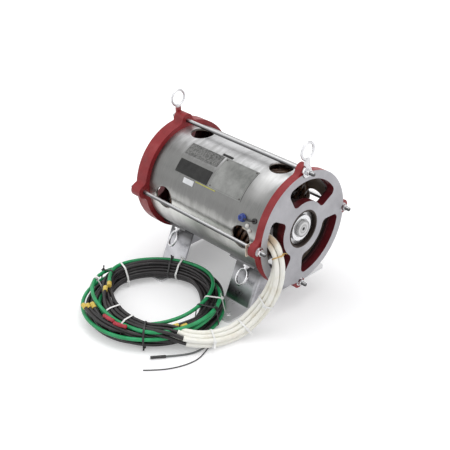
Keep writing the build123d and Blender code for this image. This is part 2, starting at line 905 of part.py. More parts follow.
def bundle_frame(station):
    """Plane across the bundle, at a route point's number plus a share of the next run."""
    i = int(station)
    start = Vector(*bundle_route[i])
    run = between(bundle_route[i], bundle_route[i + 1])
    ahead = run.normalized()
    beside = between(bundle_route[i], offset_route(bundle_route, 1.0, 0.0)[i])
    side = beside - ahead * beside.dot(ahead)
    return Plane(origin=start + run * (station - i), x_dir=side, z_dir=ahead)


def bundle_band(station, thickness, width, gap):
    """Band round the six sleeves, sized to the bundle."""
    inner_x = (sleeve_columns - 1) * sleeve_pitch + 2 * (sleeve_r + gap)
    inner_y = (sleeve_rows - 1) * sleeve_pitch + 2 * (sleeve_r + gap)
    hole = RectangleRounded(inner_x, inner_y, sleeve_r)
    rim = RectangleRounded(inner_x + 2 * thickness, inner_y + 2 * thickness, sleeve_r + thickness)
    return extrude(bundle_frame(station) * (rim - hole), amount=width)


def sleeve_ties():
    return [bundle_band(place, tie_thickness, tie_width, sleeve_tie_gap) for place in sleeve_tie_stations]


def sleeve_lacing():
    """Waxed cord wound round the sleeves outside the casting."""
    return bundle_band(lacing_station, lacing_thickness, lacing_width, lacing_gap)


def ellipse_radius(semi_axes, turn):
    across, along = semi_axes
    return 1 / hypot(cos(radians(turn)) / across, sin(radians(turn)) / along)


def on_coil(r, length, place):
    """Round piece lying along the coil's turns, on its top, at a share of its width."""
    turn, share = place
    inner = ellipse_radius(coil_inner, turn)
    outer = ellipse_radius(coil_outer, turn)
    out = inner + share * (outer - inner)
    piece = Pos(out, 0, coil_top + r + tie_gap) * Rot(X=90) * Cylinder(r, length)
    return Pos(coil_centre[0], coil_centre[1], 0) * Rot(Z=coil_turn + turn) * piece


def lead_end_caps():
    return [on_coil(cap_r, cap_length, place) for place in cap_places]


def red_splices():
    return [on_coil(splice_r, splice_length, place) for place in splice_places]


def heat_shrink():
    a = thermistor_route[-1]
    ahead = between(thermistor_route[-2], thermistor_route[-1])
    return extrude(Plane(origin=a, z_dir=ahead) * Circle(shrink_r), amount=shrink_length)


def save(name, shape):
    """Writes one node; a list becomes one node of separate solids."""
    if isinstance(shape, list):
        solids = []
        for piece in shape:
            solids.extend(piece.solids())
        shape = Compound(children=solids)
    export_step(shape, "parts/" + name + ".step")


def main():
    os.makedirs("parts", exist_ok=True)
    save("front_bracket", front_bracket())
    save("rear_bracket", rear_bracket())
    save("stator_shell", stator_shell())
    save("stator_core", stator_core())
    save("stator_winding", stator_winding())
    save("shaft", shaft())
    save("shaft_key", shaft_key_block(0.2))
    save("rotor_core", rotor_core())
    save("rotor_end_ring_front", rotor_end_ring(core_front, 1))
    save("rotor_end_ring_rear", rotor_end_ring(core_rear, -1))
    save("front_bearing_outer", bearing_outer(front_bearing_x))
    save("front_bearing_inner", bearing_inner(front_bearing_x))
    save("front_bearing_balls", bearing_balls(front_bearing_x))
    save("rear_bearing_outer", bearing_outer(rear_bearing_x))
    save("rear_bearing_inner", bearing_inner(rear_bearing_x))
    save("rear_bearing_balls", bearing_balls(rear_bearing_x))
    save("retaining_ring", retaining_ring())
    save("shaft_collar", shaft_collar())
    save("wave_spring", wave_spring())
    save("tie_rods", tie_rods())
    save("front_rod_nuts", front_nuts())
    save("rear_rod_nuts", rear_nuts())
    save("rod_washers", rod_washers())
    save("lifting_eye_front", lifting_eye(ear_front, 1))
    save("lifting_eye_rear", lifting_eye(ear_rear, -1))
    rear_saddle_front = rear_saddle_rear + saddle_length
    front_hole_x = front_saddle_front - foot_hole_in
    rear_hole_x = rear_saddle_rear + foot_hole_in
    save("saddle_front", saddle(front_saddle_front, front_saddle_front - saddle_length, True, front_hole_x))
    save("saddle_rear", saddle(rear_saddle_front, rear_saddle_rear, False, rear_hole_x))
    save("lower_eyebolts", lower_eyebolts())
    save("rating_plate", shell_plate(rating_plate_x, rating_plate_angles))
    save("textured_plate", shell_plate(textured_plate_x, textured_plate_angles))
    dark_strip = shell_plate(dark_strip_x, dark_strip_angles)
    save("dark_plate", [shell_plate(dark_plate_x, dark_plate_angles), dark_strip])
    save("pale_label", shell_plate(pale_label_x, pale_label_angles))
    save("strip_label", shell_plate(strip_label_x, strip_label_angles))
    save("plate_rivets", plate_rivets())
    save("inspection_plug", inspection_plug())
    save("wire_grommet", wire_grommet())
    save("sensor_wire", sensor_wire())
    save("sealant_blobs", sealant_blobs())
    save("hang_tag", hang_tag())
    for number, route in enumerate(sleeve_routes(), start=1):
        name = "lead_sleeve_" + str(number)
        save(name, tube(route, sleeve_r, name))
    save("lead_coil", lead_coil())
    save("coil_ties_white", coil_ties(white_tie_turns))
    save("coil_ties_black", coil_ties(black_tie_turns))
    save("sleeve_ties", sleeve_ties())
    save("sleeve_lacing", sleeve_lacing())
    save("lead_end_caps", lead_end_caps())
    save("red_splices", red_splices())
    save("thermistor_lead", tube(thermistor_route, thermistor_r, "thermistor_lead"))
    save("thin_wire", tube(thin_wire_route, thin_wire_r, "thin_wire"))
    save("heat_shrink", heat_shrink())


main()
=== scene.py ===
import json
import math
import random

import bmesh
import bpy
import numpy as np
from mathutils import Matrix, Vector


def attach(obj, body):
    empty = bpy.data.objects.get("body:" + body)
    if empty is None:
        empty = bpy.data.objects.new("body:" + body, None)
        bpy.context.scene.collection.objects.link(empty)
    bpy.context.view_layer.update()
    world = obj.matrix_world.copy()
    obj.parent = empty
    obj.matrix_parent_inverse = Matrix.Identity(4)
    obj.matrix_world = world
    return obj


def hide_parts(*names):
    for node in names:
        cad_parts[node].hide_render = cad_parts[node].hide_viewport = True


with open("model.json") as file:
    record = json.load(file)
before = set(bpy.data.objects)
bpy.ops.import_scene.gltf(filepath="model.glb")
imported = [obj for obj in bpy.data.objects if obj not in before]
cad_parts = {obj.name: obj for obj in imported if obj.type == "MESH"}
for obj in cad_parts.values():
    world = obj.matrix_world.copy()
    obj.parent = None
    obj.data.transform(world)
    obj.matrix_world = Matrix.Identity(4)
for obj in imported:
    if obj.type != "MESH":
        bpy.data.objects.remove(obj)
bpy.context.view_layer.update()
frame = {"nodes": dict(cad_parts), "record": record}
nodes = frame["nodes"]
BODY = "motor_frame"
FLOOR_Z = -0.210
MATERIALS = {}


# Shader building

def rgb(colour):
    """A colour's three numbers. A single number stands for a grey."""
    return colour if isinstance(colour, tuple) else (colour, colour, colour)


class Tree:
    """The nodes of a material or of the world."""

    def __init__(self, owner):
        owner.use_nodes = True
        self.tree = owner.node_tree
        self.tree.nodes.clear()

    def put(self, value, socket):
        if isinstance(value, bpy.types.NodeSocket):
            self.tree.links.new(value, socket)
        else:
            socket.default_value = (*rgb(value), 1.0) if socket.type == "RGBA" else value

    def node(self, kind, settings=None, **inputs):
        """A new node. Its inputs go by name, or by number as i0, i1 and so on."""
        made = self.tree.nodes.new("ShaderNode" + kind)
        for key, value in (settings or {}).items():
            setattr(made, key, value)
        for key, value in inputs.items():
            numbered = key[0] == "i" and key[1:].isdigit()
            self.put(value, made.inputs[int(key[1:]) if numbered else key.replace("_", " ")])
        return made

    def math(self, operation, a, b=0.0):
        return self.node("Math", {"operation": operation}, i0=a, i1=b).outputs[0]

    def plus(self, a, b):
        return self.math("ADD", a, b)

    def minus(self, a, b):
        return self.math("SUBTRACT", a, b)

    def times(self, a, b):
        return self.math("MULTIPLY", a, b)

    def levels(self, fac, low, high, to_low=0.0, to_high=1.0):
        made = self.node("MapRange", Value=fac, From_Min=low, From_Max=high, To_Min=to_low, To_Max=to_high)
        return made.outputs["Result"]


class Shader(Tree):
    """A Principled material whose colour, roughness and bump come from procedural nodes."""

    def __init__(self, name, rough, metal=0.0, **sockets):
        MATERIALS[name] = bpy.data.materials.new(name)
        super().__init__(MATERIALS[name])
        self.bsdf = self.node("BsdfPrincipled", Roughness=rough, Metallic=metal, **sockets)
        self.node("OutputMaterial", i0=self.bsdf.outputs[0])
        self.position = self.node("TexCoord").outputs["Object"]

    def noise(self, scale, detail=4.0, rough=0.55, at=None):
        made = self.node("TexNoise", Vector=at or self.position, Scale=scale, Detail=detail, Roughness=rough)
        return made.outputs["Fac"]

    def noise_over(self, detail, rough, x, y, z=0.0):
        """Noise over three measures in place of the position."""
        return self.noise(1.0, detail, rough, self.node("CombineXYZ", X=x, Y=y, Z=z).outputs[0])

    def marks(self, x, y, z):
        """Noise with a scale of its own along each axis."""
        return self.noise(1.0, 4.0, 0.6, self.node("Mapping", Vector=self.position, Scale=(x, y, z)).outputs[0])

    def grooves(self, place, detail=3.0):
        """Noise along one measure only."""
        return self.node("TexNoise", {"noise_dimensions": "1D"}, W=place, Detail=detail).outputs["Fac"]

    def ramp(self, fac, stops):
        made = self.node("ValToRGB", Fac=fac)
        elements = made.color_ramp.elements
        while len(elements) < len(stops):
            elements.new(0.5)
        for element, (place, colour) in zip(elements, stops):
            element.position = place
            element.color = (*rgb(colour), 1.0)
        return made.outputs["Color"]

    def mix(self, fac, a, b):
        return self.node("Mix", {"data_type": "RGBA"}, i0=fac, i6=a, i7=b).outputs[2]

    def parts(self, at=None):
        return self.node("SeparateXYZ", Vector=at or self.position).outputs[:3]

    def normal(self):
        return self.parts(self.node("NewGeometry").outputs["Normal"])

    def around(self):
        """Angle about the shaft's axis, and distance from it."""
        _, y, z = self.parts()
        square = self.plus(self.times(y, y), self.times(z, z))
        return self.math("ARCTAN2", z, y), self.math("SQRT", square)

    def colour(self, value):
        self.put(value, self.bsdf.inputs["Base Color"])

    def metal(self, value):
        self.put(value, self.bsdf.inputs["Metallic"])

    def rough(self, value):
        self.put(value, self.bsdf.inputs["Roughness"])

    def dull(self, low, high, scale, detail=4.0):
        """Roughness that wanders from a low to a high value."""
        self.rough(self.levels(self.noise(scale, detail), 0.3, 0.7, low, high))

    def bump(self, height, distance, strength):
        """Bump on top of any that is there already."""
        made = self.node("Bump", Height=height, Strength=strength, Distance=distance)
        normal = self.bsdf.inputs["Normal"]
        if normal.is_linked:
            self.put(normal.links[0].from_socket, made.inputs["Normal"])
        self.put(made.outputs[0], normal)


def plastic(name, dark, light, rough=0.45, grain=900.0, depth=0.00006, **sockets):
    """Moulded or extruded plastic: faint mottling, handling marks and a fine skin."""
    s = Shader(name, rough, **sockets)
    s.colour(s.ramp(s.noise(38.0, 3.0), [(0.3, dark), (0.7, light)]))
    s.dull(rough - 0.08, rough + 0.1, 120.0, 5.0)
    s.bump(s.noise(grain, 2.0), depth, 0.4)


def plain_metal(name, dark, light, rough=0.3, grain=400.0, depth=0.00003):
    """Machined or plated metal with fine marks and uneven sheen."""
    s = Shader(name, rough, 1.0)
    marks = s.marks(grain, grain, grain)
    s.colour(s.mix(s.levels(marks, 0.3, 0.7), dark, light))
    s.dull(rough - 0.07, rough + 0.1, 70.0)
    s.bump(marks, depth, 0.35)


def casting(name, face_x, outward, bore_r):
    """Red enamel over cast iron: bare machined end face, with painted shade inside the windows and in the bore.
    """
    s = Shader(name, 0.42, Specular_IOR_Level=0.3)
    _, radius = s.around()
    out, face_out = s.times(s.parts()[0], outward), face_x * outward
    blotch = s.noise(26.0, 5.0)
    paint = s.ramp(blotch, [(0.25, (0.170, 0.009, 0.012)), (0.55, (0.245, 0.016, 0.020)),
                            (0.8, (0.30, 0.034, 0.036))])
    dust = s.levels(s.noise(9.0, 6.0, 0.7), 0.5, 0.75)
    paint = s.mix(s.times(dust, 0.20), paint, (0.34, 0.12, 0.115))
    # Painted shade: inside the windows the red is darker, and goes near black deeper in from the face
    inner = s.ramp(blotch, [(0.3, (0.085, 0.008, 0.012)), (0.7, (0.165, 0.018, 0.024))])
    inner = s.mix(s.levels(out, face_out - 0.024, face_out - 0.014), (0.030, 0.022, 0.022), inner)
    paint = s.mix(s.levels(radius, 0.1215, 0.1232), inner, paint)
    face = s.levels(out, face_out - 0.0011, face_out - 0.0006)
    facing = s.levels(s.math("ABSOLUTE", s.normal()[0]), 0.62, 0.85)
    bore = s.math("LESS_THAN", radius, bore_r)
    bare = s.math("MAXIMUM", s.times(face, facing), bore)
    turning = s.grooves(s.times(radius, 2600.0))
    stain = s.noise(22.0, 6.0, 0.6)
    iron = s.mix(s.levels(stain, 0.35, 0.7), (0.35, 0.345, 0.365), (0.45, 0.445, 0.467))
    iron = s.mix(s.times(turning, 0.12), iron, (0.64, 0.64, 0.66))
    # The bore is bare iron, painted near black brown as painted shade of the recess
    iron = s.mix(bore, iron, (0.040, 0.027, 0.021))
    s.colour(s.mix(bare, paint, iron))
    s.metal(s.times(bare, 0.45))
    s.rough(s.mix(bare, s.levels(s.noise(60.0, 4.0), 0.3, 0.7, 0.30, 0.52),
                  s.levels(stain, 0.3, 0.7, 0.40, 0.52)))
    s.bump(s.mix(bare, s.noise(420.0, 5.0, 0.6), s.times(turning, 0.4)), 0.00035, 0.6)
    s.bump(s.mix(bare, s.noise(55.0, 3.0), 0.5), 0.0007, 0.25)


def rolled_shell():
    """Bright rolled steel: fine scratches round the shell, rolling streaks and dull patches, over painted
    reflections and shade in bands by height and a painted highlight at the near front top.
    """
    s = Shader("steel_shell", 0.3, 1.0)
    x, y, z = s.parts()
    angle, radius = s.around()
    fine = s.noise_over(5.0, 0.65, s.times(x, 900.0), s.times(angle, 3.0))
    streak = s.noise_over(5.0, 0.6, s.times(x, 60.0), s.times(angle, 1.6), 2.0)
    patch = s.noise(9.0, 5.0, 0.65)
    # Painted reflection and shade: the colour runs in bands by height, light low down and at the top, dark
    # above the middle, bent by the rolling streaks
    height = s.plus(z, s.times(s.minus(streak, 0.5), 0.030))
    base = s.ramp(s.levels(height, -0.128, 0.128), [
        (0.0, 0.11), (0.24, (0.25, 0.25, 0.244)), (0.33, (0.57, 0.57, 0.548)), (0.44, (0.78, 0.78, 0.738)),
        (0.52, (0.50, 0.50, 0.475)), (0.62, (0.135, 0.135, 0.130)), (0.78, (0.068, 0.069, 0.066)),
        (0.90, (0.096, 0.096, 0.093)), (0.955, 0.26), (1.0, (0.66, 0.66, 0.67))])
    # Painted highlight at the front top of the near side, dimmed near the casting's rim
    painted_front_highlight = s.times(s.levels(x, -0.105, -0.070), s.levels(z, 0.080, 0.124, 0.0, 0.65))
    painted_front_highlight = s.times(painted_front_highlight, s.levels(x, -0.034, -0.062, 0.25, 1.0))
    painted_front_highlight = s.times(painted_front_highlight, s.levels(y, 0.035, -0.030))
    base = s.mix(painted_front_highlight, base, (0.62, 0.62, 0.615))
    base = s.mix(s.times(s.levels(patch, 0.45, 0.72), 0.45), base, (0.15, 0.15, 0.145))
    base = s.mix(s.times(fine, 0.22), base, 0.60)
    inside = s.levels(radius, 0.1262, 0.1235)
    s.colour(s.mix(inside, base, s.mix(patch, (0.40, 0.34, 0.28), (0.26, 0.21, 0.17))))
    s.metal(s.levels(inside, 0.0, 1.0, 1.0, 0.25))
    s.rough(s.levels(s.plus(patch, s.times(fine, 0.3)), 0.35, 0.95, 0.31, 0.46))
    s.bump(fine, 0.00006, 0.5)
    s.bump(streak, 0.0002, 0.25)


def varnished_winding():
    """Dark brown baking varnish over the wires of the coil ends."""
    s = Shader("winding_varnish", 0.3, Coat_Weight=0.4, Coat_Roughness=0.15)
    angle, radius = s.around()
    x = s.parts()[0]
    strand = s.noise_over(4.0, 0.6, s.times(x, 300.0), s.times(angle, 5.0), s.times(radius, 600.0))
    s.colour(s.ramp(strand, [(0.3, (0.020, 0.009, 0.006)), (0.55, (0.090, 0.042, 0.020)),
                             (0.8, (0.20, 0.105, 0.048))]))
    s.dull(0.22, 0.5, 90.0)
    s.bump(strand, 0.0009, 0.8)


def laminations():
    """Edges of thin steel sheets under varnish."""
    s = Shader("dark_laminations", 0.45, 0.6)
    sheets = s.grooves(s.times(s.parts()[0], 2500.0), 2.0)
    s.colour(s.mix(sheets, (0.03, 0.027, 0.025), (0.13, 0.12, 0.115)))
    s.dull(0.38, 0.6, 80.0)
    s.bump(sheets, 0.0002, 0.6)


def bright_sheet():
    """Bright sheet steel with long handling scratches, with painted shade above, under the shell, and a pale
    painted reflection of the floor at the feet.
    """
    s = Shader("bright_sheet", 0.2, 1.0)
    scratch = s.marks(700.0, 30.0, 60.0)
    patch = s.noise(16.0, 5.0, 0.6)
    z = s.parts()[2]
    tone = s.mix(s.levels(patch, 0.35, 0.7), (0.36, 0.36, 0.38), (0.62, 0.62, 0.65))
    # Painted reflection of the floor: the feet are pale and less metallic
    foot = s.levels(z, -0.2030, -0.2045)
    tone = s.mix(s.times(foot, 0.75), tone, (0.84, 0.84, 0.85))
    # Painted shade: dark above, where the sheet sits under the shell
    s.colour(s.mix(s.levels(z, -0.150, -0.128, 0.0, 0.90), tone, 0.065))
    s.metal(s.levels(foot, 0.0, 1.0, 1.0, 0.30))
    s.rough(s.levels(s.plus(patch, s.times(scratch, 0.3)), 0.3, 1.0, 0.20, 0.40))
    s.bump(scratch, 0.00004, 0.4)


def framed_plate(name, ends, angles, dark, light, rough, wrinkle=0.0):
    """Bare sheet metal plate on the shell with a pressed line round its edge."""
    s = Shader(name, rough, 0.85)

    def from_edge(place, a, b):
        return s.minus(abs(a - b) / 2, s.math("ABSOLUTE", s.minus(place, (a + b) / 2)))

    across = from_edge(s.parts()[0], *ends)
    along = s.times(from_edge(s.around()[0], *map(math.radians, angles)), 0.129)
    edge = s.math("MINIMUM", across, along)
    line = s.times(s.levels(edge, 0.0026, 0.0029), s.levels(edge, 0.0036, 0.0033))
    cloud = s.noise(24.0, 6.0, 0.65)
    fold = s.noise(85.0, 6.0, 0.75)
    tone = s.mix(s.levels(cloud, 0.35, 0.7), dark, light)
    crease = s.levels(s.math("ABSOLUTE", s.minus(fold, 0.5)), 0.05, 0.0)
    tone = s.mix(s.times(crease, 0.55 * wrinkle), tone, (0.52, 0.52, 0.51))
    # The pressed line is painted darker, as painted shade in its groove
    s.colour(s.mix(s.times(line, 0.5), tone, 0.06))
    s.rough(s.levels(cloud, 0.3, 0.7, rough - 0.06, rough + 0.12))
    s.bump(s.minus(1.0, line), 0.0002, 0.7)
    s.bump(fold, 0.0001 + 0.0009 * wrinkle, 0.5)


def woven_sleeving():
    """Off-white woven glass sleeving with a fine slanting weave, amber where varnish crept up it."""
    s = Shader("white_sleeving", 0.75, Sheen_Weight=0.25)
    weave = s.node("TexWave", {"wave_type": "BANDS", "bands_direction": "DIAGONAL"}, Vector=s.position,
                   Scale=420.0, Distortion=3.0, Detail=2.0).outputs["Fac"]
    dirt = s.noise(30.0, 5.0, 0.6)
    base = s.ramp(dirt, [(0.3, (0.84, 0.80, 0.70)), (0.5, (0.94, 0.93, 0.86)), (0.75, (0.97, 0.965, 0.93))])
    x, _, z = s.parts()
    crept = s.times(s.levels(s.minus(z, x), -0.040, 0.012), s.levels(dirt, 0.40, 0.60))
    base = s.mix(s.times(crept, 0.75), base, (0.50, 0.31, 0.12))
    s.colour(s.mix(s.times(weave, 0.10), base, (0.70, 0.66, 0.56)))
    s.rough(s.levels(dirt, 0.3, 0.7, 0.65, 0.85))
    s.bump(weave, 0.0002, 0.5)
    s.bump(s.node("TexVoronoi", Vector=s.position, Scale=900.0).outputs["Distance"], 0.00015, 0.4)


def cable_skin(name, dark, light, rough=0.38):
    """Extruded lead insulation with a slight ripple and dust."""
    s = Shader(name, rough, Specular_IOR_Level=0.42)
    s.colour(s.ramp(s.noise(24.0, 6.0, 0.65), [(0.35, dark), (0.75, light)]))
    s.dull(rough - 0.08, rough + 0.14, 70.0)
    s.bump(s.noise(260.0, 4.0), 0.00025, 0.35)


def turned_steel():
    """Turned shaft: fine lathe rings, a dull chamfer, and on its end face rings of painted highlight and
    painted shade round a centre hole painted dark as shade.
    """
    s = Shader("machined_steel", 0.28, 1.0)
    radius = s.around()[1]
    rings = s.grooves(s.times(s.plus(radius, s.parts()[0]), 3200.0))
    # Painted light by distance from the axis: painted shade in the centre hole and in a ring near the rim,
    # painted highlights on the rings between
    tone = s.ramp(s.levels(radius, 0.0, 0.0225), [(0.0, 0.02), (0.17, 0.03), (0.22, 0.62), (0.42, 0.40),
                                                  (0.60, 0.72), (0.76, 0.46), (0.84, 0.20), (0.93, 0.56)])
    s.colour(s.mix(s.times(rings, 0.4), tone, 0.16))
    s.dull(0.20, 0.36, 60.0)
    s.bump(rings, 0.00003, 0.4)


def drawn_rod():
    """Plated rod with a painted highlight along its top and painted shade along its sides."""
    s = Shader("rod_steel", 0.3, 1.0)
    marks = s.marks(120.0, 900.0, 900.0)
    # Colour by how far the surface faces up: painted highlight on top, painted shade on the sides
    lit = s.plus(s.normal()[2], s.times(s.minus(marks, 0.5), 0.15))
    s.colour(s.ramp(s.levels(lit, -1.0, 1.0), [
        (0.30, 0.06), (0.58, (0.10, 0.10, 0.102)), (0.78, (0.17, 0.17, 0.175)), (0.90, (0.40, 0.40, 0.41)),
        (0.98, (0.66, 0.66, 0.67))]))
    s.dull(0.24, 0.40, 70.0)
    s.bump(marks, 0.00003, 0.35)


ZINC = (0.52, 0.52, 0.535), (0.76, 0.76, 0.775)


def painted_zinc(top):
    """Zinc-plated eye whose foot and neck, up to a height, took the casting's red paint."""
    s = Shader("painted_zinc", 0.3)
    uneven = s.times(s.minus(s.noise(160.0, 3.0), 0.5), 0.006)
    bare = s.levels(s.plus(s.parts()[2], uneven), top - 0.0012, top + 0.0012)
    red = s.ramp(s.noise(40.0, 4.0), [(0.3, (0.22, 0.020, 0.022)), (0.7, (0.38, 0.055, 0.052))])
    s.colour(s.mix(bare, red, s.mix(s.levels(s.noise(400.0, 4.0), 0.3, 0.7), *ZINC)))
    s.metal(bare)
    s.dull(0.22, 0.42, 70.0)
    s.bump(s.noise(300.0, 3.0), 0.0001, 0.4)


casting("red_casting_front", 0.0, 1.0, 0.0462)
casting("red_casting_rear", -0.415, -1.0, 0.0)
rolled_shell()
laminations()
varnished_winding()
turned_steel()
plain_metal("cast_aluminium", (0.40, 0.40, 0.41), (0.62, 0.62, 0.63), 0.45, 260.0, 0.0002)
plain_metal("bearing_steel", (0.46, 0.46, 0.47), (0.70, 0.70, 0.71), 0.24)
plain_metal("collar_steel", (0.66, 0.66, 0.67), (0.86, 0.86, 0.87), 0.16)
plain_metal("dark_spring_steel", (0.040, 0.036, 0.034), (0.13, 0.12, 0.115), 0.35)
plain_metal("zinc_steel", *ZINC, 0.25)
drawn_rod()
painted_zinc(0.1700)
bright_sheet()
framed_plate("rating_sheet", (-0.097, -0.199), (110.0, 146.5), (0.13, 0.133, 0.128), (0.25, 0.253, 0.246), 0.40)
framed_plate("grey_plate", (-0.206, -0.312), (110.0, 124.5), (0.060, 0.060, 0.059), (0.125, 0.125, 0.122),
             0.46, 0.45)
plastic("dark_plate", (0.004, 0.004, 0.004), (0.015, 0.015, 0.014), 0.50, Specular_IOR_Level=0.30)
plastic("pale_label", (0.58, 0.59, 0.61), (0.74, 0.75, 0.77), 0.4)
plastic("yellow_label", (0.27, 0.26, 0.03), (0.46, 0.44, 0.07), 0.4)
plastic("blue_plastic", (0.012, 0.030, 0.19), (0.024, 0.062, 0.30), 0.30)
plastic("black_rubber", (0.010, 0.010, 0.010), (0.035, 0.035, 0.034), 0.6)
cable_skin("black_insulation", (0.007, 0.006, 0.007), (0.036, 0.031, 0.032), 0.33)
cable_skin("green_insulation", (0.006, 0.235, 0.072), (0.030, 0.40, 0.155), 0.34)
cable_skin("grey_insulation", (0.09, 0.10, 0.10), (0.22, 0.23, 0.23))
plastic("pale_sealant", (0.58, 0.57, 0.54), (0.78, 0.77, 0.74), 0.5, 300.0, 0.0004)
plastic("cream_card", (0.72, 0.64, 0.50), (0.84, 0.78, 0.66), 0.7, 700.0, 0.0001)
plastic("white_nylon", (0.80, 0.80, 0.79), (0.93, 0.93, 0.92), 0.4)
plastic("black_nylon", 0.012, 0.04, 0.42)
plastic("yellow_plastic", (0.56, 0.39, 0.045), (0.78, 0.60, 0.14), 0.35)
plastic("red_plastic", (0.30, 0.008, 0.020), (0.48, 0.020, 0.042), 0.32)
woven_sleeving()
plastic("amber_cord", (0.46, 0.27, 0.07), (0.66, 0.45, 0.17), 0.55, 1500.0, 0.0002)

# Nodes whose look differs from that of the record's slot that they share with others
OWN_LOOK = {
    "front_bracket": "red_casting_front", "rear_bracket": "red_casting_rear", "tie_rods": "rod_steel",
    "shaft_collar": "collar_steel", "plate_rivets": "dark_spring_steel", "lifting_eye_rear": "painted_zinc",
    "rating_plate": "rating_sheet"}
for row in frame["record"]["subparts"]:
    worn = nodes[row["node"]].data.materials
    worn.clear()
    worn.append(MATERIALS[OWN_LOOK.get(row["node"], row["material_slot"])])


# Meshes and curves

def linked(name, data):
    made = bpy.data.objects.new(name, data)
    bpy.context.scene.collection.objects.link(made)
    return made


def add_object(name, data, material, *replaced, slot=None):
    """A piece in one material, over the record's nodes that it replaces."""
    made = linked(name, data)
    made.data.materials.append(MATERIALS[material])
    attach(made, BODY)
    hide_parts(*replaced)
    return made


def mesh_piece(name, points, faces, material, *replaced, slot=None, smooth=True):
    mesh = bpy.data.meshes.new(name)
    mesh.from_pydata([tuple(p) for p in points], [], faces)
    mesh.polygons.foreach_set("use_smooth", [smooth] * len(mesh.polygons))
    mesh.update()
    return add_object(name, mesh, material, *replaced, slot=slot)


def full_turn(count):
    return np.linspace(0, 2 * math.pi, count, endpoint=False)


def about_shaft(x, angle, out, side=0.0):
    """Point at a distance out from the shaft's axis at an angle round it, and to the side of that."""
    return (x, out * math.cos(angle) - side * math.sin(angle), out * math.sin(angle) + side * math.cos(angle))


def tube_rings(line, radii, count):
    """Rings of points round a line, with side and up directions carried along it without twist."""
    line = np.asarray(line, float)
    ahead = np.gradient(line, axis=0)
    ahead /= np.linalg.norm(ahead, axis=1)[:, None]
    start = np.array((0.0, 0.0, 1.0)) if abs(ahead[0][2]) < 0.9 else np.array((1.0, 0.0, 0.0))
    side = np.cross(ahead[0], start)
    sides = []
    for direction in ahead:
        side = side - direction * side.dot(direction)
        side /= np.linalg.norm(side)
        sides.append(side)
    sides = np.array(sides)
    ups = np.cross(ahead, sides)
    turn = full_turn(count)
    radii = np.broadcast_to(radii, len(line))[:, None, None]
    ring = np.cos(turn)[None, :, None] * sides[:, None, :] + np.sin(turn)[None, :, None] * ups[:, None, :]
    return line[:, None, :] + ring * radii


def tube_faces(rows, count, closed=False, caps=True):
    """Faces between rings of points, of which the last joins the first if closed."""
    faces = []
    for i in range(rows if closed else rows - 1):
        here, after = i * count, (i + 1) % rows * count
        for j in range(count):
            k = (j + 1) % count
            faces.append((here + j, here + k, after + k, after + j))
    if caps and not closed:
        faces.append(tuple(range(count - 1, -1, -1)))
        faces.append(tuple(range((rows - 1) * count, rows * count)))
    return faces


def tube_piece(name, line, radii, count, material, *replaced):
    rings = tube_rings(line, radii, count)
    return mesh_piece(name, rings.reshape(-1, 3), tube_faces(len(line), count), material, *replaced)


def nurbs_curve(name, points, closed=False):
    curve = bpy.data.curves.new(name, "CURVE")
    curve.dimensions = "3D"
    spline = curve.splines.new("NURBS")
    spline.points.add(len(points) - 1)
    for made, point in zip(spline.points, points):
        made.co = (*point, 1.0)
    spline.order_u = 3
    spline.use_endpoint_u = not closed
    spline.use_cyclic_u = closed
    return curve


def points_along(curve):
    """Points along the smooth line of a curve with no bevel."""
    thing = linked("line", curve)
    bpy.context.view_layer.update()
    mesh = bpy.data.meshes.new_from_object(thing.evaluated_get(bpy.context.evaluated_depsgraph_get()))
    line = np.array([v.co for v in mesh.vertices])
    bpy.data.objects.remove(thing)
    bpy.data.meshes.remove(mesh)
    return line


def lengths(line):
    return np.r_[0.0, np.cumsum(np.linalg.norm(np.diff(line, axis=0), axis=1))]


def at_length(line, wanted):
    """Points of a line at the wanted distances along it."""
    run = lengths(line)
    return np.array([[np.interp(w, run, column) for column in line.T] for w in np.atleast_1d(wanted)])


# Winding: lap coils, each one closed bundle of varnished wires through two slots

SLOTS = 24
COIL_SLOTS = 5
PITCH = 2 * math.pi / SLOTS
BUNDLE_COUNT = 24
CORE_FRONT, CORE_REAR = -0.118, -0.288
LAYERS = {"bottom": (0.0930, 0.1045), "top": (0.0838, 0.0892)}
# Half of a bundle's width and height in its slot, and what each gains beyond the core
HALF_WIDTH, HALF_HEIGHT = (0.0032, 0.0012), (0.0043, 0.0018)
# Steps of a leg from its slot to the coil's nose: distance beyond the core, and share of half the coil's pitch
LEG_IN_SLOT = ((-0.004, 0.0), (0.004, 0.0))
LEG_OVER = ((0.010, 0.03), (0.0165, 0.17), (0.0240, 0.38), (0.0315, 0.60), (0.0385, 0.80))
NOSE = (0.0435, 0.95)


def wound_section(place, ahead, half_width, half_height):
    """Rounded rectangular ring of points across a bundle, a little ridged by its wires."""
    radial = Vector((0.0, place.y, place.z)).normalized()
    radial = (radial - ahead * radial.dot(ahead)).normalized()
    side = ahead.cross(radial)
    ring = []
    for j in range(BUNDLE_COUNT):
        t = 2 * math.pi * j / BUNDLE_COUNT
        c, s = math.cos(t), math.sin(t)
        swell = (abs(c) ** 4 + abs(s) ** 4) ** -0.25 * (1.0 if j % 2 else 0.955)
        ring.append(tuple(place + side * (half_width * swell * c) + radial * (half_height * swell * s)))
    return ring


def coil_leg(angle, layer, end, sign, turned):
    """Points from inside a slot out over one end to the coil's nose, half a pitch round."""
    in_slot, over = LAYERS[layer]
    half_pitch = math.radians(COIL_SLOTS * 360.0 / SLOTS / 2)
    middle = (LAYERS["bottom"][1] + LAYERS["top"][1]) / 2
    steps = [(*step, in_slot) for step in LEG_IN_SLOT] + [(*step, over) for step in LEG_OVER]
    points = []
    for beyond, share, radius in [*steps, (*NOSE, (over + middle) / 2)]:
        points.append(Vector(about_shaft(end + sign * beyond, angle + turned * share * half_pitch, radius)))
    return points


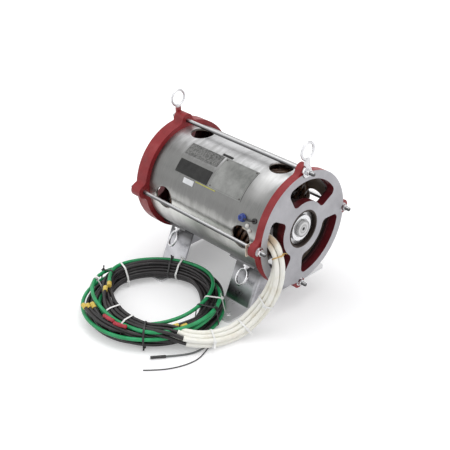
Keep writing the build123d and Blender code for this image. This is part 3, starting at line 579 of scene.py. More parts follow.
def wound_coil(number):
    """Rings of points along one coil, from a slot's top layer to the bottom layer of a slot further round."""
    first = number * PITCH
    second = first + COIL_SLOTS * PITCH
    loop = coil_leg(first, "top", CORE_FRONT, 1, 1)
    loop += coil_leg(second, "bottom", CORE_FRONT, 1, -1)[::-1]
    loop += coil_leg(second, "bottom", CORE_REAR, -1, -1)
    loop += coil_leg(first, "top", CORE_REAR, -1, 1)[::-1]
    curve = nurbs_curve("coil_path", loop, True)
    curve.resolution_u = 4
    line = [Vector(p) for p in points_along(curve)]
    rings = []
    for before, here, after in zip(line[-1:] + line[:-1], line, line[1:] + line[:1]):
        beyond = max(here.x - CORE_FRONT, CORE_REAR - here.x)
        wide = min(max((beyond - 0.001) / 0.009, 0.0), 1.0)
        half_width, half_height = (slot + wide * gain for slot, gain in (HALF_WIDTH, HALF_HEIGHT))
        rings.append(wound_section(here, (after - before).normalized(), half_width, half_height))
    return rings


winding_points, winding_faces = [], []
for number in range(SLOTS):
    rings = wound_coil(number)
    base = len(winding_points)
    winding_points += [point for ring in rings for point in ring]
    winding_faces += [tuple(i + base for i in face) for face in tube_faces(len(rings), BUNDLE_COUNT, True)]
mesh_piece("wound_coils", winding_points, winding_faces, "winding_varnish", "stator_winding")


# Tie rods with rolled threads, and hexagon nuts with chamfered corners

ROD_R, ROD_CIRCLE = 0.00476, 0.1435
THREAD_PITCH, THREAD_DEPTH, THREAD_LENGTH = 0.001588, 0.0008, 0.030
ROD_COUNT, PLAIN_ROWS, ROD_CHAMFER = 18, 60, 0.0011
NUT_FLATS, NUT_CHAMFER, NUT_COUNT = 0.0143, 0.0011, 48
ROD_NAMES = ("far", "top", "near", "bottom")


def ends_by_rod(node):
    """Lowest and highest x of a node's four solids, in the order of ROD_NAMES."""
    ends = [[], [], [], []]
    for vert in nodes[node].data.vertices:
        x, y, z = nodes[node].matrix_world @ vert.co
        ends[round(math.degrees(math.atan2(z, y)) / 90.0) % 4].append(x)
    return [(min(xs), max(xs)) for xs in ends]


def by_rod(quarter, x, a, r):
    """Point at an angle and distance from the middle of one of the four rods."""
    return about_shaft(x, quarter * math.pi / 2, ROD_CIRCLE + r * math.cos(a), r * math.sin(a))


def threaded_rod(quarter, rear, front):
    """Rod with a cut thread on both ends and chamfered tips."""
    thread = np.arange(0.0, THREAD_LENGTH, THREAD_PITCH / 5)
    plain = np.linspace(rear + THREAD_LENGTH, front - THREAD_LENGTH, PLAIN_ROWS)
    stations = np.r_[rear + thread, plain, front - thread[::-1]]
    points = []
    for x in stations:
        from_end = min(x - rear, front - x)
        for j in range(ROD_COUNT):
            phase = (x / THREAD_PITCH - j / ROD_COUNT) % 1.0
            cut = THREAD_DEPTH * (1 - abs(2 * phase - 1)) * (from_end < THREAD_LENGTH - 0.0001)
            r = (ROD_R - cut) * (1 - 0.22 * max(1 - from_end / ROD_CHAMFER, 0.0))
            points.append(by_rod(quarter, x, 2 * math.pi * j / ROD_COUNT, r))
    mesh_piece("tie_rod_" + ROD_NAMES[quarter], points, tube_faces(len(stations), ROD_COUNT), "rod_steel",
               "tie_rods", slot="zinc_steel")


def hexagon_nut(name, node, quarter, low, high):
    """Nut with its corners turned off by a cone at both faces, and a bored middle."""
    corner = NUT_FLATS / 2 / math.cos(math.pi / 6)
    points = []
    for j in range(NUT_COUNT):
        a = 2 * math.pi * j / NUT_COUNT
        flat = NUT_FLATS / 2 / math.cos(a % (math.pi / 3) - math.pi / 6)
        profile = [(low + 0.0004, ROD_R), (low, ROD_R + 0.0005)]
        for depth in (0.0, 0.0003, 0.0007, NUT_CHAMFER):
            cone = corner - (NUT_CHAMFER - depth) * (corner - NUT_FLATS / 2 + 0.0002) / NUT_CHAMFER
            profile.append((low + depth, min(flat, cone)))
        profile += [(low + high - x, r) for x, r in profile[::-1]]
        points += [by_rod(quarter, x, a, r) for x, r in profile]
    mesh_piece(name, points, tube_faces(NUT_COUNT, len(profile), True), "zinc_steel", node, smooth=False)


for quarter, (rear, front) in enumerate(ends_by_rod("tie_rods")):
    threaded_rod(quarter, rear, front)
for end in ("front", "rear"):
    node = end + "_rod_nuts"
    for quarter, (low, high) in enumerate(ends_by_rod(node)):
        hexagon_nut("rod_nut_%s_%s" % (end, ROD_NAMES[quarter]), node, quarter, low, high)


# Routes of the leads, the same points as the solid model's, in metres

def metres(points):
    return [tuple(c / 1000.0 for c in p) for p in points]


BUNDLE_ROUTE = metres([
    (-79, -97, 14), (-36, -98, 12), (0, -99, 2), (20, -103, -22), (27, -110, -56), (20, -119, -106),
    (-2, -140, -161), (-16, -190, -195), (-32, -249, -194), (-58, -300, -180), (-95, -325, -165)])
BUNDLE_TWIST = (45, 45, 45, 36, 22, 10, 3, 0, 0, 0, 0)
THERMISTOR_ROUTE = metres([
    (-36, -272, -205.1), (-37, -289, -206.6), (-43, -308, -207.4), (-57, -332, -207.2), (-73, -354, -206.5)])
THIN_WIRE_ROUTE = metres([
    (-30, -268, -206.1), (-24, -287, -207.6), (-19, -308, -208.4), (-22, -336, -208.3), (-34, -367, -208.5),
    (-52, -395, -208.3), (-74, -418, -208.5)])
SLEEVE_PITCH = 0.0128
SLEEVE_R = 0.0060
SLEEVE_SKIN_R = 0.0057
LEAD_R = 0.0041
GREEN_R = 0.0044
RADII = [LEAD_R] * 6 + [GREEN_R]


def offset_route(route, across, outward):
    """Route beside the bundle's middle line, with every run parallel to the middle's run."""
    ahead = (Vector(route[1]) - Vector(route[0])).normalized()
    side = (Vector((0, 0, 1)) - ahead * ahead.z).normalized()
    shift = side * across + side.cross(ahead) * outward
    shifted = [Vector(route[0]) + shift]
    for before, here, after in zip(route, route[1:], route[2:]):
        come = (Vector(here) - Vector(before)).normalized()
        leave = (Vector(after) - Vector(here)).normalized()
        mitre = come + leave
        at_corner = shift - come * (shift.dot(mitre) / come.dot(mitre))
        shifted.append(Vector(here) + at_corner)
        shift = at_corner - leave * at_corner.dot(leave)
    shifted.append(Vector(route[-1]) + shift)
    return shifted


# The coil, in its own plane: turn is the angle about its centre, from its long axis

COIL_CENTRE = Vector((-0.227, -0.257, 0.0))
COIL_TURN = math.radians(45.3)
COIL_OUTER = (0.171, 0.158)
COIL_INNER = (0.103, 0.106)
FOOT_EDGE, FOOT_SPANS = -0.176, ((-0.148, -0.061), (-0.382, -0.295))
OVER_FLOOR, OVER_FOOT = 0.0014, 0.0066
STEP = 15
STATIONS = 360 // STEP
START = -75


def ellipse_radius(semi_axes, turn):
    a = math.radians(turn)
    return 1 / math.hypot(math.cos(a) / semi_axes[0], math.sin(a) / semi_axes[1])


def coil_point(turn, out, z):
    a = math.radians(turn) + COIL_TURN
    return Vector((COIL_CENTRE.x + out * math.cos(a), COIL_CENTRE.y + out * math.sin(a), z))


def coil_place(point):
    """Turn and distance out of a point, seen from the coil's centre."""
    x, y = point[0] - COIL_CENTRE.x, point[1] - COIL_CENTRE.y
    return math.degrees(math.atan2(y, x) - COIL_TURN), math.hypot(x, y)


def rest_height(turn, out):
    """Height that a lead can sink to: the floor, or the saddle's foot where it lies over one."""
    p = coil_point(turn, out, 0.0)
    on_foot = p.y > FOOT_EDGE and any(low < p.x < high for low, high in FOOT_SPANS)
    return FLOOR_Z + (OVER_FOOT if on_foot else OVER_FLOOR)


# Six leads wind round as a block of three by two: share of the band's width, and height, by turns made.
# On its first turn the block cuts across the hole's near left side, as the photograph shows it.
BLOCK_SHARES = [
    (0.0, 0.85), (0.04, 0.45), (0.10, -0.06), (0.19, -0.22), (0.29, -0.14), (0.36, 0.25), (0.40, 0.60),
    (0.45, 0.74), (0.60, 0.74), (0.80, 0.72), (0.95, 0.60), (1.1, 0.35), (1.3, 0.24), (1.9, 0.24),
    (2.15, 0.50), (2.35, 0.78), (2.9, 0.78), (3.1, 0.60), (3.3, 0.40), (3.6, 0.30), (3.9, 0.45),
    (4.4, 0.60)]
BLOCK_HEIGHTS = [(0.0, -0.169), (0.45, -0.169), (0.80, -0.173), (1.0, -0.184), (1.25, -0.198), (2.9, -0.198),
                 (3.1, -0.190), (3.3, -0.183), (3.8, -0.180), (4.4, -0.176)]
BLOCK_SPREAD = [(0.0, 1.5), (0.2, 1.35), (0.45, 1.0)]
FIRST_TURN = (0.03, 0.42)
LEAD_ENDS = [(78, -1241.0, 0.90, -0.166), (78, -1239.8, 0.75, -0.166), (78, -1237.5, 0.60, -0.166),
             (79, -1261.4, 0.06, -0.156), (95, -1497.2, 0.76, -0.165), (95, -1504.1, 0.58, -0.165)]
GREEN_SHARES = [
    (-60, 1.0), (-40, 1.0), (45, 0.95), (90, 0.95), (150, 1.0), (206, 1.0), (292, 1.0), (309, 0.95),
    (337, 0.86), (354, 0.83), (385, 0.7), (450, 0.6), (480, 0.8), (495, 1.0), (512, 0.95), (529, 0.75),
    (547, 0.45), (570, 0.26), (594, 0.17), (614, 0.37), (632, 0.92), (649, 1.0), (669, 0.95), (682, 0.94),
    (697, 0.88), (717, 0.90), (750, 0.85), (810, 0.75), (870, 0.5), (940, 0.15), (993, 0.07), (1028, 0.05),
    (1054, 0.09), (1077, 0.35), (1093, 0.66), (1105, 0.98), (1181, 1.0), (1209, 1.0), (1219, 0.76),
    (1232, 0.22), (1245, 0.0)]
GREEN_HEIGHTS = [
    (-60, 0.0), (-40, 0.05), (45, 0.1), (120, 0.2), (180, 0.45), (206, 0.50), (293, 0.50), (325, 0.8),
    (355, 0.8), (385, 0.4), (465, 0.4), (495, 1.0), (560, 1.0), (594, 0.75), (649, 1.0), (717, 1.0),
    (745, 0.5), (870, 0.35), (940, 0.4), (993, 0.9), (1200, 1.0), (1245, 1.15)]
# Where the ties draw the coil together on its far side, its section is nearly round.
ROUND_FROM, ROUND_TO, ROUND_EASE = 35.0, 132.0, 32.0
ROUND_R = 0.0245
ROUND_IN = 0.0195
ROUND_HEIGHT = -0.182
ENDING_STATIONS = 7.0
SETTLE_STEPS, SINK, STIFFNESS, PUSH, CLEARANCE = 320, 0.00006, 0.16, 0.42, 1.02
INWARD_ROOM, GATHERED_ROOM, SPREAD_ROOM, DRAW_BACK = 0.0190, 0.006, 0.05, 0.5


def looked_up(pairs, at):
    return float(np.interp(at, [p[0] for p in pairs], [p[1] for p in pairs]))


def limits(turn, r=0.0):
    """How far in and out a lead may lie at one turn."""
    return ellipse_radius(COIL_INNER, turn) + r, ellipse_radius(COIL_OUTER, turn) - r


def lead_targets(number, sleeve_ends):
    """Wanted place of one black lead at each station after its sleeve: turn, out, height, pull."""
    centre = sum((Vector(e) for e in sleeve_ends), Vector()) / len(sleeve_ends)
    out_centre = coil_place(centre)[1]
    end = sleeve_ends[number]
    beside = (coil_place(end)[1] - out_centre) * LEAD_R / SLEEVE_R
    above = (end[2] - centre.z) * LEAD_R / SLEEVE_R
    targets = []
    count, last_turn, last_share, last_height = LEAD_ENDS[number]
    for i in range(1, count + 1):
        turn = START - STEP * i if i < count else last_turn
        inner, outer = limits(turn, LEAD_R)
        made = i / STATIONS
        out = inner + looked_up(BLOCK_SHARES, made) * (outer - inner) + beside * looked_up(BLOCK_SPREAD, made)
        z = looked_up(BLOCK_HEIGHTS, made) + above
        pull = 0.10 if FIRST_TURN[0] < made < FIRST_TURN[1] else 0.02
        ending = max(0.0, 1.0 - (count - i) / ENDING_STATIONS)
        out += ending * (inner + last_share * (outer - inner) - out)
        z += ending * (last_height - z)
        pull += 0.22 * ending
        targets.append([turn, out, z, pull])
    return targets


def green_targets():
    """Wanted place of the green lead at each station, from its first end to its last."""
    targets = []
    for turn in [*range(START + STEP, 1245, STEP), 1245]:
        inner, outer = limits(turn, GREEN_R)
        share = looked_up(GREEN_SHARES, turn)
        height = looked_up(GREEN_HEIGHTS, turn)
        targets.append([turn, inner + share * (outer - inner), -0.202 + 0.040 * height, 0.03 + 0.07 * height])
    return targets


def gathered(turn):
    """How tightly the coil is drawn together at one turn: one where it is round, zero where it spreads."""
    beyond = max(ROUND_FROM - turn % 360, turn % 360 - ROUND_TO, 0.0)
    return max(0.0, 1.0 - beyond / ROUND_EASE)


def settle(strands):
    """Pushes the leads apart at each station, so that they lie on and beside each other."""
    owner = np.array([k for k, s in enumerate(strands) for _ in s])
    places = np.array([p for s in strands for p in s])
    turns = places[:, 0]
    pull = places[:, 3:4]
    now = places[:, 1:3].copy()
    wanted = now.copy()
    radius = np.array(RADII)[owner]
    station = np.round(turns / STEP).astype(int) % STATIONS
    low = np.array([rest_height(t, o) for t, o in zip(turns, now[:, 0])]) + radius
    inner = np.array([limits(t, r)[0] for t, r in zip(turns, radius)])
    inner = np.minimum(inner, np.maximum(wanted[:, 0], inner - INWARD_ROOM))
    outer = np.array([limits(t, r)[1] for t, r in zip(turns, radius)])
    round_share = np.array([gathered(t) for t in turns])
    outer += GATHERED_ROOM * round_share
    middle_out = np.array([ellipse_radius(COIL_OUTER, t) - ROUND_IN for t in turns])
    round_centre = np.c_[middle_out, np.full(len(turns), ROUND_HEIGHT)]
    room = ROUND_R + SPREAD_ROOM * (1.0 - round_share) - radius
    has_before = np.r_[False, owner[1:] == owner[:-1]]
    has_after = np.r_[owner[1:] == owner[:-1], False]
    between = np.where(has_before & has_after)[0]
    groups = [np.where(station == s)[0] for s in range(STATIONS)]
    for _ in range(SETTLE_STEPS):
        now += pull * (wanted - now)
        now[:, 1] -= SINK
        middle = (now[between - 1] + now[between + 1]) / 2
        now[between] += STIFFNESS * (middle - now[between])
        for group in groups:
            gap = now[group][:, None, :] - now[group][None, :, :]
            distance = np.linalg.norm(gap, axis=2) + 1e-9
            needed = (radius[group][:, None] + radius[group][None, :]) * CLEARANCE
            push = np.clip(needed - distance, 0, None)
            np.fill_diagonal(push, 0)
            now[group] += PUSH * (gap / distance[:, :, None] * push[:, :, None]).sum(axis=1)
        from_centre = now - round_centre
        reach = np.linalg.norm(from_centre, axis=1) + 1e-9
        back = DRAW_BACK * np.clip(reach - room, 0, None) * (round_share > 0)
        now -= from_centre / reach[:, None] * back[:, None]
        now[:, 0] = np.clip(now[:, 0], inner, outer)
        now[:, 1] = np.maximum(now[:, 1], low)
    return [np.c_[turns[owner == k], now[owner == k]] for k in range(len(strands))]


def cord_piece(name, points, r, material, *replaced, slot=None):
    """A free cord: one open NURBS spline with a round section."""
    curve = nurbs_curve(name, points)
    curve.resolution_u = 8
    curve.bevel_depth = r
    curve.bevel_resolution = 5
    curve.use_fill_caps = True
    return add_object(name, curve, material, *replaced, slot=slot)


def line_of(cord):
    """Points along a cord's smooth line."""
    bare = cord.data.copy()
    bare.bevel_depth = 0.0
    return points_along(bare)


def sleeve_route(across, outward):
    """Route of one sleeve. The bundle turns as it leaves the casting, so it looks narrower there."""
    middles = [Vector(p) for p in BUNDLE_ROUTE]
    points = []
    for before, middle, after, twist, point in zip(
            middles[:1] + middles, middles, middles[1:] + middles[-1:], BUNDLE_TWIST,
            offset_route(BUNDLE_ROUTE, across, outward)):
        turn = Matrix.Rotation(math.radians(twist), 3, (after - before).normalized())
        points.append(middle + turn @ (point - middle))
    return points


sleeve_routes = [sleeve_route((column - 1) * SLEEVE_PITCH, (row - 0.5) * SLEEVE_PITCH)
                 for row in range(2) for column in range(3)]
sleeve_ends = [route[-1] for route in sleeve_routes]
settled = settle([lead_targets(k, sleeve_ends) for k in range(6)] + [green_targets()])

leads = []
for k in range(6):
    points = sleeve_routes[k] + [coil_point(*place) for place in settled[k]]
    leads.append(cord_piece("power_lead_%d" % (k + 1), points, LEAD_R, "black_insulation",
                            "lead_sleeve_%d" % (k + 1), "lead_coil"))
leads.append(cord_piece("earth_lead", [coil_point(*place) for place in settled[6]], GREEN_R,
                        "green_insulation", "lead_coil", slot="black_insulation"))
lines = [line_of(lead) for lead in leads]

CAP_R, CAP_LENGTH, CAP_ROWS, CAP_COUNT = 0.0056, 0.0150, 40, 24
MOUTHS = (-0.026, -0.020, -0.036, -0.014, -0.008, -0.046)
SLEEVE_ROWS, SLEEVE_COUNT, MOUTH_ROWS = 130, 24, 8


def pressed(s, depth, *bands):
    """Share of the radius that is left at a place along a crimped piece, by its pressed bands."""
    return 1.0 - depth * sum(math.exp(-((s - band) / 0.06) ** 2) for band in bands)


def end_cap(name, line):
    """Crimped ferrule on a lead's end: a rounded sleeve with two pressed bands."""
    ahead = line[-1] - line[-3]
    ahead /= np.linalg.norm(ahead)
    path = np.array([line[-1] + ahead * CAP_LENGTH * s for s in np.linspace(-0.35, 0.65, CAP_ROWS)])
    radii = []
    for s in np.linspace(0, 1, CAP_ROWS):
        edge = min(1.0, math.sin(math.pi * min(max(s, 0.001), 0.999)) * 4.5) ** 0.4
        radii.append(CAP_R * pressed(s, 0.14, 0.3, 0.68) * (0.80 + 0.20 * edge))
    return tube_piece(name, path, radii, CAP_COUNT, "yellow_plastic", "lead_end_caps")


def sleeve_piece(k):
    """Rippled woven sleeve over one lead, open at its mouth."""
    line, number = lines[k], k + 1
    near = np.argmin(np.linalg.norm(line - np.array(sleeve_ends[k]), axis=1))
    path = at_length(line, np.linspace(0.0005, lengths(line)[near] + MOUTHS[k], SLEEVE_ROWS))
    random.seed(k)
    ripple = np.array([1.0 + 0.02 * math.sin(i * 1.7 + k) + random.uniform(-0.012, 0.012)
                       for i in range(SLEEVE_ROWS)])
    flare = 1.0 + 0.05 * np.clip((np.linspace(0, 1, SLEEVE_ROWS) - 0.985) / 0.015, 0, 1)
    outside = tube_rings(path, SLEEVE_SKIN_R * np.minimum(ripple * flare, 1.04), SLEEVE_COUNT)
    inside = tube_rings(path[-MOUTH_ROWS:], np.full(MOUTH_ROWS, LEAD_R + 0.0003), SLEEVE_COUNT)[::-1]
    rings = np.concatenate([outside, inside])
    faces = tube_faces(len(rings), SLEEVE_COUNT, False, False)
    return mesh_piece("sleeve_%d" % number, rings.reshape(-1, 3), faces, "white_sleeving",
                      "lead_sleeve_%d" % number)


caps = [end_cap("end_cap_%d" % (k + 1), line) for k, line in enumerate(lines)]
sleeves = [sleeve_piece(k) for k in range(6)]


# Ties. A plane is its origin, its directions across and up, and the direction ahead, square to it.

LOWEST_Z = FLOOR_Z + 0.0003
CROSSING_ROOM = 0.016
STRAP_WIDTH, STRAP_THICK, STRAP_ROWS = 0.0046, 0.0011, 72
STRAP_SECTION = ((0.0, -1), (0.0, 1), (0.7, 1), (1.0, 0.75), (1.0, -0.75), (0.7, -1))
HEAD_SIZE, HEAD_OUT, HEAD_BEVEL = (0.0062, 0.0052, 0.0070), 0.0024, 0.0007
LACING_R, LACING_ROWS, LACING_COUNT = 0.0009, 150, 10


def hull_of(points):
    """Convex outline of flat points, anticlockwise."""
    points = sorted(set((float(a), float(b)) for a, b in points))

    def half(ordered):
        chain = []
        for p in ordered:
            while len(chain) > 1 and ((chain[-1][0] - chain[-2][0]) * (p[1] - chain[-2][1])
                                      - (chain[-1][1] - chain[-2][1]) * (p[0] - chain[-2][0])) <= 0:
                chain.pop()
            chain.append(p)
        return chain[:-1]

    return half(points) + half(points[::-1])


def band_round(centres, radii):
    """Closed line pulled tight round circles in a plane."""
    rim = [(a + r * math.cos(t), b + r * math.sin(t)) for (a, b), r in zip(centres, radii)
           for t in full_turn(24)]
    outline = np.array(hull_of(rim))
    return np.vstack([outline, outline[:1]])


def in_plane(plane, a, b, c=0.0):
    origin, across, up, ahead = plane
    return origin + across * a + up * b + ahead * c


def cable_tie(node, name, centres, radii, plane, material, head_at, tail=0.012):
    """Cable tie pulled round some leads: a strap on their outline, a ratchet head and a cut tail."""
    closed = band_round(centres, [r + 0.0003 for r in radii])
    path = at_length(closed, np.linspace(0, lengths(closed)[-1], STRAP_ROWS, endpoint=False))
    tangent = np.roll(path, -1, axis=0) - np.roll(path, 1, axis=0)
    tangent /= np.linalg.norm(tangent, axis=1)[:, None]
    normal = np.c_[tangent[:, 1], -tangent[:, 0]]
    points = []
    for p, n in zip(path, normal):
        for depth, side in STRAP_SECTION:
            x, y, z = in_plane(plane, *(p + n * (STRAP_THICK * depth)), side * STRAP_WIDTH / 2)
            points.append((x, y, max(z, LOWEST_Z)))
    strap = mesh_piece(name, points, tube_faces(STRAP_ROWS, len(STRAP_SECTION), True), material, node)

    aim = np.array((math.cos(head_at), math.sin(head_at)))
    seat = int(np.argmax((path - path.mean(axis=0)) @ aim))
    foot = in_plane(plane, *path[seat])
    out, along = (plane[1] * v[0] + plane[2] * v[1] for v in (normal[seat], tangent[seat]))
    head = bmesh.new()
    bmesh.ops.create_cube(head, size=1.0)
    turn = Matrix((along, out, plane[3])).transposed().to_4x4()
    size = Matrix.Diagonal((*HEAD_SIZE, 1.0))
    bmesh.ops.transform(head, matrix=Matrix.Translation(foot + out * HEAD_OUT) @ turn @ size, verts=head.verts)
    bmesh.ops.bevel(head, geom=head.edges[:], offset=HEAD_BEVEL, segments=2, affect="EDGES")
    half, lift = plane[3] * STRAP_WIDTH * 0.42, out * 0.0005
    rows = []
    for s in np.linspace(0, 1, 7):
        base = foot + (out * (0.0030 + 0.45 * tail * s * s) + along * (tail * s))
        rows.append([head.verts.new(q) for q in (base - half - lift, base + half - lift, base + half + lift,
                                                 base - half + lift)])
    for a, b in zip(rows, rows[1:]):
        for j in range(4):
            head.faces.new((a[j], a[(j + 1) % 4], b[(j + 1) % 4], b[j]))
    head.faces.new(rows[-1])
    head.faces.new(rows[0][::-1])
    bmesh.ops.recalc_face_normals(head, faces=head.faces[:])
    for vert in head.verts:
        vert.co.z = max(vert.co.z, LOWEST_Z)
    mesh = bpy.data.meshes.new(name + "_head")
    head.to_mesh(mesh)
    head.free()
    tie_pieces.extend((strap, add_object(name + "_head", mesh, material, node)))


def cuts(line, plane):
    """Where a lead's line goes through a plane: place across and up, and number of the point before it."""
    origin, across, up, ahead = (np.array(v) for v in plane)
    off = (line - origin) @ ahead
    found = []
    for i in np.where(np.diff(np.sign(off)) != 0)[0]:
        place = line[i] + off[i] / (off[i] - off[i + 1]) * (line[i + 1] - line[i]) - origin
        found.append((float(place @ across), float(place @ up), i))
    return found


def coil_plane(turn):
    a = math.radians(turn) + COIL_TURN
    return (Vector((COIL_CENTRE.x, COIL_CENTRE.y, 0)), Vector((math.cos(a), math.sin(a), 0)), Vector((0, 0, 1)),
            Vector((math.sin(a), -math.cos(a), 0)))


def crossings(line, turn):
    """Where a lead's line crosses the coil's section at one turn: distance out and height."""
    reach = ellipse_radius(COIL_OUTER, turn) + CROSSING_ROOM
    return [place for place in cuts(line, coil_plane(turn)) if 0 < place[0] < reach]


def coil_tie(name, turn, colour, head_at, least):
    """Tie round the leads that cross the coil's section at one turn, from a share of its width outward."""
    inner, outer = limits(turn)
    held = [(place[:2], RADII[k]) for k, line in enumerate(lines) for place in crossings(line, turn)
            if (place[0] - inner) / (outer - inner) > least]
    cable_tie("coil_ties_" + colour, name, *zip(*held), coil_plane(turn), colour + "_nylon", head_at)


def square_plane(places, directions):
    """Plane across a bundle, from points on its leads and the ways they run."""
    origin = Vector(np.mean(places, axis=0))
    ahead = Vector(np.mean(directions, axis=0)).normalized()
    across = ahead.cross(Vector((0.1, 0.1, 1.0))).normalized()
    return origin, across, across.cross(ahead), ahead


def block_tie(name, turn, head_at, reach):
    """Tie square across the block of six leads on its first turn, with what lies within reach of it."""
    before = [crossings(line, turn)[0][2] for line in lines[:6]]
    plane = square_plane([line[i] for line, i in zip(lines, before)],
                         [line[i + 1] - line[i] for line, i in zip(lines, before)])
    held = [(place[:2], RADII[k]) for k, line in enumerate(lines) for place in cuts(line, plane)
            if math.hypot(place[0], place[1]) < reach]
    cable_tie("coil_ties_white", name, *zip(*held), plane, "white_nylon", head_at, 0.007)


def bundle_plane(station):
    """Plane across the bundle of sleeves, at a point of its route or between two."""
    i = int(station)
    a, b = np.array(BUNDLE_ROUTE[i]), np.array(BUNDLE_ROUTE[i + 1])
    return square_plane([a + (b - a) * (station - i)], [b - a])


def sleeve_places(plane):
    """Middles of the six sleeves in a plane across the bundle."""
    return [min(cuts(line, plane), key=lambda place: math.hypot(place[0], place[1]))[:2] for line in lines[:6]]


def lacing(station):
    """Two turns of waxed cord round the sleeves, with a knot and two short ends."""
    plane = bundle_plane(station)
    place, _, _, ahead = plane
    closed = band_round(sleeve_places(plane), [SLEEVE_R + LACING_R] * 6)
    run = lengths(closed)
    knot_at = int(np.argmax(closed @ np.array((-0.35, 1.0))))
    loop = at_length(closed, (run[knot_at] + np.linspace(0, 2 * run[-1], LACING_ROWS)) % run[-1])
    turns = [in_plane(plane, *p, 0.0012 * (2 * i / (LACING_ROWS - 1) - 1) + 0.0002 * math.sin(i * 0.4))
             for i, p in enumerate(loop)]
    seat = turns[0]
    out = (seat - place).normalized()
    along = ahead.cross(out).normalized()
    knot = [seat + out * (0.0012 + 0.0011 * math.sin(1.5 * t)) + along * 0.0020 * math.cos(t)
            + ahead * 0.0017 * math.sin(t) for t in np.linspace(0, 2 * math.pi * 1.6, 60)]
    cords = {"lacing_turns": turns, "lacing_knot": knot}
    for name, side in (("lacing_end_1", 1), ("lacing_end_2", -1)):
        cords[name] = [seat + out * (0.0014 + 0.0050 * s - 0.0030 * s * s) + along * side * 0.0085 * s
                       + ahead * (0.0012 * side + 0.0030 * s * s) for s in np.linspace(0, 1, 24)]
    for name, path in cords.items():
        tie_pieces.append(tube_piece(name, np.array(path), LACING_R, LACING_COUNT, "amber_cord",
                                     "sleeve_lacing"))


tie_pieces = []
for row in (("tie_far_left", 126.0, "white", 3.6, -1.0), ("tie_far_right", 66.0, "white", 1.2, -1.0),
            ("tie_left", 158.0, "white", 1.9, 0.50), ("tie_right", -8.0, "white", 0.9, -1.0),
            ("tie_black_far", 76.0, "black", 1.3, -1.0), ("tie_black_near", -94.0, "black", 5.2, -1.0),
            ("tie_black_left", 143.0, "black", 0.6, 0.35), ("tie_black_right", -24.0, "black", 0.5, -1.0)):
    coil_tie(*row)
block_tie("tie_bundle_a", -146.0, 3.6, 0.022)
block_tie("tie_bundle_b", -116.0, 3.4, 0.030)
coil_tie_pieces = list(tie_pieces)
for letter, station, head_at in (("a", 5.45, 2.4), ("b", 6.7, 2.9), ("c", 8.1, 2.9)):
    plane = bundle_plane(station)
    cable_tie("sleeve_ties", "tie_sleeves_" + letter, sleeve_places(plane), [SLEEVE_R] * 6, plane,
              "white_nylon", head_at)
lacing(2.95)
sleeve_tie_pieces = tie_pieces[len(coil_tie_pieces):]


# Splices, plug, thermistor lead, thin wire and sensor wire

SPLICE_R, SPLICE_TURN, SPLICE_ROWS, SPLICE_COUNT = 0.0044, 7, 44, 22
SHELL_R = 0.128
PLUG_X, PLUG_ANGLE, PLUG_COUNT = -0.075, 159.0, 72
PLUG_PROFILE = [
    (0.0002, 0.0058), (0.0026, 0.0058), (0.0030, 0.0062), (0.0034, 0.0084), (0.0040, 0.0089), (0.0060, 0.0090),
    (0.0076, 0.0085), (0.0083, 0.0074), (0.0085, 0.0060), (0.0085, 0.0036), (0.0088, 0.0026), (0.0096, 0.0021),
    (0.0099, 0.0014), (0.0099, 0.0004), (0.0078, 0.0003), (0.0078, -0.0050), (0.0002, -0.0050)]
BOOT_ROWS, BOOT_COUNT, BOOT_RADIUS = 16, 20, 0.1330
WIRE_ANGLE = 157.0
WIRE_START, WIRE_END = -0.0636, -0.041


def splice_piece(name, turn, share):
    """Red splice with two pressed bands, on top of the leads at a share of the coil's width."""
    inner, outer = limits(turn)
    out = inner + share * (outer - inner)
    top = max(z for line in lines for o, z, _ in crossings(line, turn) if abs(o - out) < 0.009)
    z = top + LEAD_R + 0.0042
    path = np.array([coil_point(turn + t, out, z) for t in np.linspace(-SPLICE_TURN, SPLICE_TURN, SPLICE_ROWS)])
    radii = [SPLICE_R * pressed(s, 0.16, 0.25, 0.75) * (0.72 if s < 0.03 or s > 0.97 else 1.0)
             for s in np.linspace(0, 1, SPLICE_ROWS)]
    return tube_piece(name, path, radii, SPLICE_COUNT, "red_plastic", "red_splices")


def shell_point(x, angle, radius):
    return about_shaft(x, math.radians(angle), radius)


def plug_piece():
    """Moulded plug: a fluted head with a dished middle, over a thin flange and a stem, and its wire's boot."""
    points = []
    for r, height in PLUG_PROFILE:
        fluted = 0.0070 < r < 0.0090 and 0.0022 < height < 0.0087
        for t in full_turn(PLUG_COUNT):
            reach = r * (1 - 0.075 * (0.5 + 0.5 * math.cos(8 * t)) ** 2) if fluted else r
            points.append(about_shaft(PLUG_X + reach * math.cos(t), math.radians(PLUG_ANGLE), SHELL_R + height,
                                      reach * math.sin(t)))
    mesh_piece("plug_head", points, tube_faces(len(PLUG_PROFILE), PLUG_COUNT), "blue_plastic",
               "inspection_plug")
    path = np.array([shell_point(x, PLUG_ANGLE, BOOT_RADIUS) for x in np.linspace(-0.0672, -0.0626, BOOT_ROWS)])
    radii = 0.0023 - 0.0006 * np.linspace(0, 1, BOOT_ROWS) - 0.0002 * (np.arange(BOOT_ROWS) % 4 == 3)
    tube_piece("plug_boot", path, radii, BOOT_COUNT, "black_rubber", "inspection_plug")


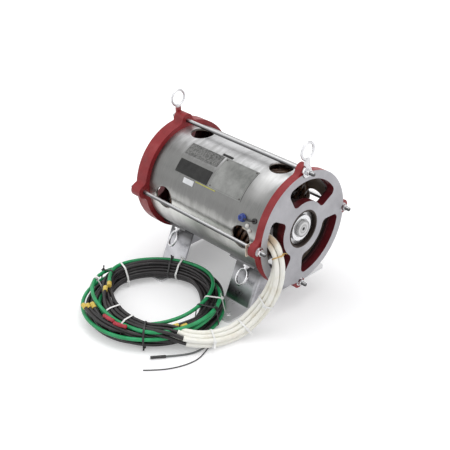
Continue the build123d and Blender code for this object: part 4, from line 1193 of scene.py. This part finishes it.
splices = [splice_piece("splice_a", -131.5, 0.56), splice_piece("splice_b", -117.0, 0.63)]
thermistor = cord_piece("thermistor_cord", THERMISTOR_ROUTE, 0.0022, "grey_insulation", "thermistor_lead")
thin = cord_piece("thin_cord", THIN_WIRE_ROUTE, 0.0013, "black_insulation", "thin_wire")
plug_piece()
wire_step = (WIRE_END - WIRE_START) / 3
sensor = cord_piece("sensor_cord", [
    shell_point(WIRE_START, PLUG_ANGLE, BOOT_RADIUS),
    shell_point(WIRE_START + wire_step, PLUG_ANGLE - 0.4, 0.1365),
    shell_point(WIRE_START + 2 * wire_step, PLUG_ANGLE - 1.1, 0.1395),
    shell_point(-0.042, WIRE_ANGLE + 0.3, 0.137),
    shell_point(WIRE_END, WIRE_ANGLE, 0.130),
], 0.0014, "black_insulation", "sensor_wire")


# Pieces that lie on each lead

on_lead = [[sleeve] for sleeve in sleeves] + [[]]
on_lead[0] += coil_tie_pieces
on_lead[1] += sleeve_tie_pieces + splices


# Floor, light and camera

def white_rays(t):
    """One for rays of the camera, reflections and transmission, zero for the rest."""
    rays = t.node("LightPath").outputs
    seen = t.math("MAXIMUM", rays["Is Camera Ray"], rays["Is Glossy Ray"])
    return t.math("MAXIMUM", seen, rays["Is Transmission Ray"])


def floor_paper():
    """Pale floor that shows near white to the camera and in reflections, and keeps the shadow."""
    material = bpy.data.materials.new("floor_paper")
    t = Tree(material)
    place = t.node("NewGeometry").outputs["Position"]
    away = t.node("VectorMath", {"operation": "LENGTH"}, i0=place).outputs["Value"]
    glow = t.node("Emission", i1=t.times(white_rays(t), t.levels(away, 0.45, 1.5, 0.28, 0.62)))
    diffuse = t.node("BsdfDiffuse", i0=(0.80, 0.80, 0.81))
    t.node("OutputMaterial", i0=t.node("AddShader", i0=diffuse.outputs[0], i1=glow.outputs[0]).outputs[0])
    return material


def studio_world():
    """Even soft light, with a white background to the camera and in reflections."""
    world = bpy.data.worlds.new("studio")
    t = Tree(world)
    lit = t.node("Background", i0=1.0, i1=0.58)
    white = t.node("Background", i0=1.0, i1=1.0)
    both = t.node("MixShader", i0=white_rays(t), i1=lit.outputs[0], i2=white.outputs[0])
    t.node("OutputWorld", i0=both.outputs[0])
    return world


def area_light(name, place, aim, size, power):
    light = bpy.data.lights.new(name, "AREA")
    light.shape = "RECTANGLE"
    light.size, light.size_y = size
    light.energy = power
    made = linked(name, light)
    made.location = place
    made.rotation_euler = (Vector(aim) - Vector(place)).to_track_quat("-Z", "Y").to_euler()


floor_mesh = bpy.data.meshes.new("floor")
floor_corners = [(x, y, FLOOR_Z) for x, y in ((-9, -9), (9, -9), (9, 9), (-9, 9))]
floor_mesh.from_pydata(floor_corners, [], [(0, 1, 2, 3)])
floor = linked("floor", floor_mesh)
floor.data.materials.append(floor_paper())

bpy.context.scene.world = studio_world()
area_light("overhead", (-0.3, 0.2, 1.9), (-0.2, -0.05, 0.0), (1.6, 1.2), 17.0)
area_light("near_left", (-1.5, -1.8, 1.5), (-0.2, -0.05, -0.05), (2.6, 2.6), 19.0)
area_light("front_right", (1.6, 0.2, 0.9), (-0.1, -0.05, 0.0), (2.6, 2.6), 12.0)

# The camera was fitted to the photograph: its focal length in pixels, its place, and its three directions
FOCAL_PIXELS, IMAGE_PIXELS, SENSOR = 883.456, 450.0, 36.0
CAMERA_PLACE = (1.084693, -1.326966, 1.010446)
CAMERA_RIGHT = Vector((0.70273, 0.711436, 0.005422))
CAMERA_UP = Vector((-0.363709, 0.352688, 0.862164))
CAMERA_BACK = Vector((0.611462, -0.60784, 0.506601))
camera_data = bpy.data.cameras.new("camera")
camera_data.sensor_width = SENSOR
camera_data.lens = FOCAL_PIXELS / IMAGE_PIXELS * SENSOR
camera_data.clip_end = 60.0
camera = linked("camera", camera_data)
turned = Matrix((CAMERA_RIGHT, CAMERA_UP, CAMERA_BACK)).transposed().to_4x4()
camera.matrix_world = Matrix.Translation(CAMERA_PLACE) @ turned
bpy.context.scene.camera = camera
bpy.context.scene.view_settings.view_transform = "Standard"
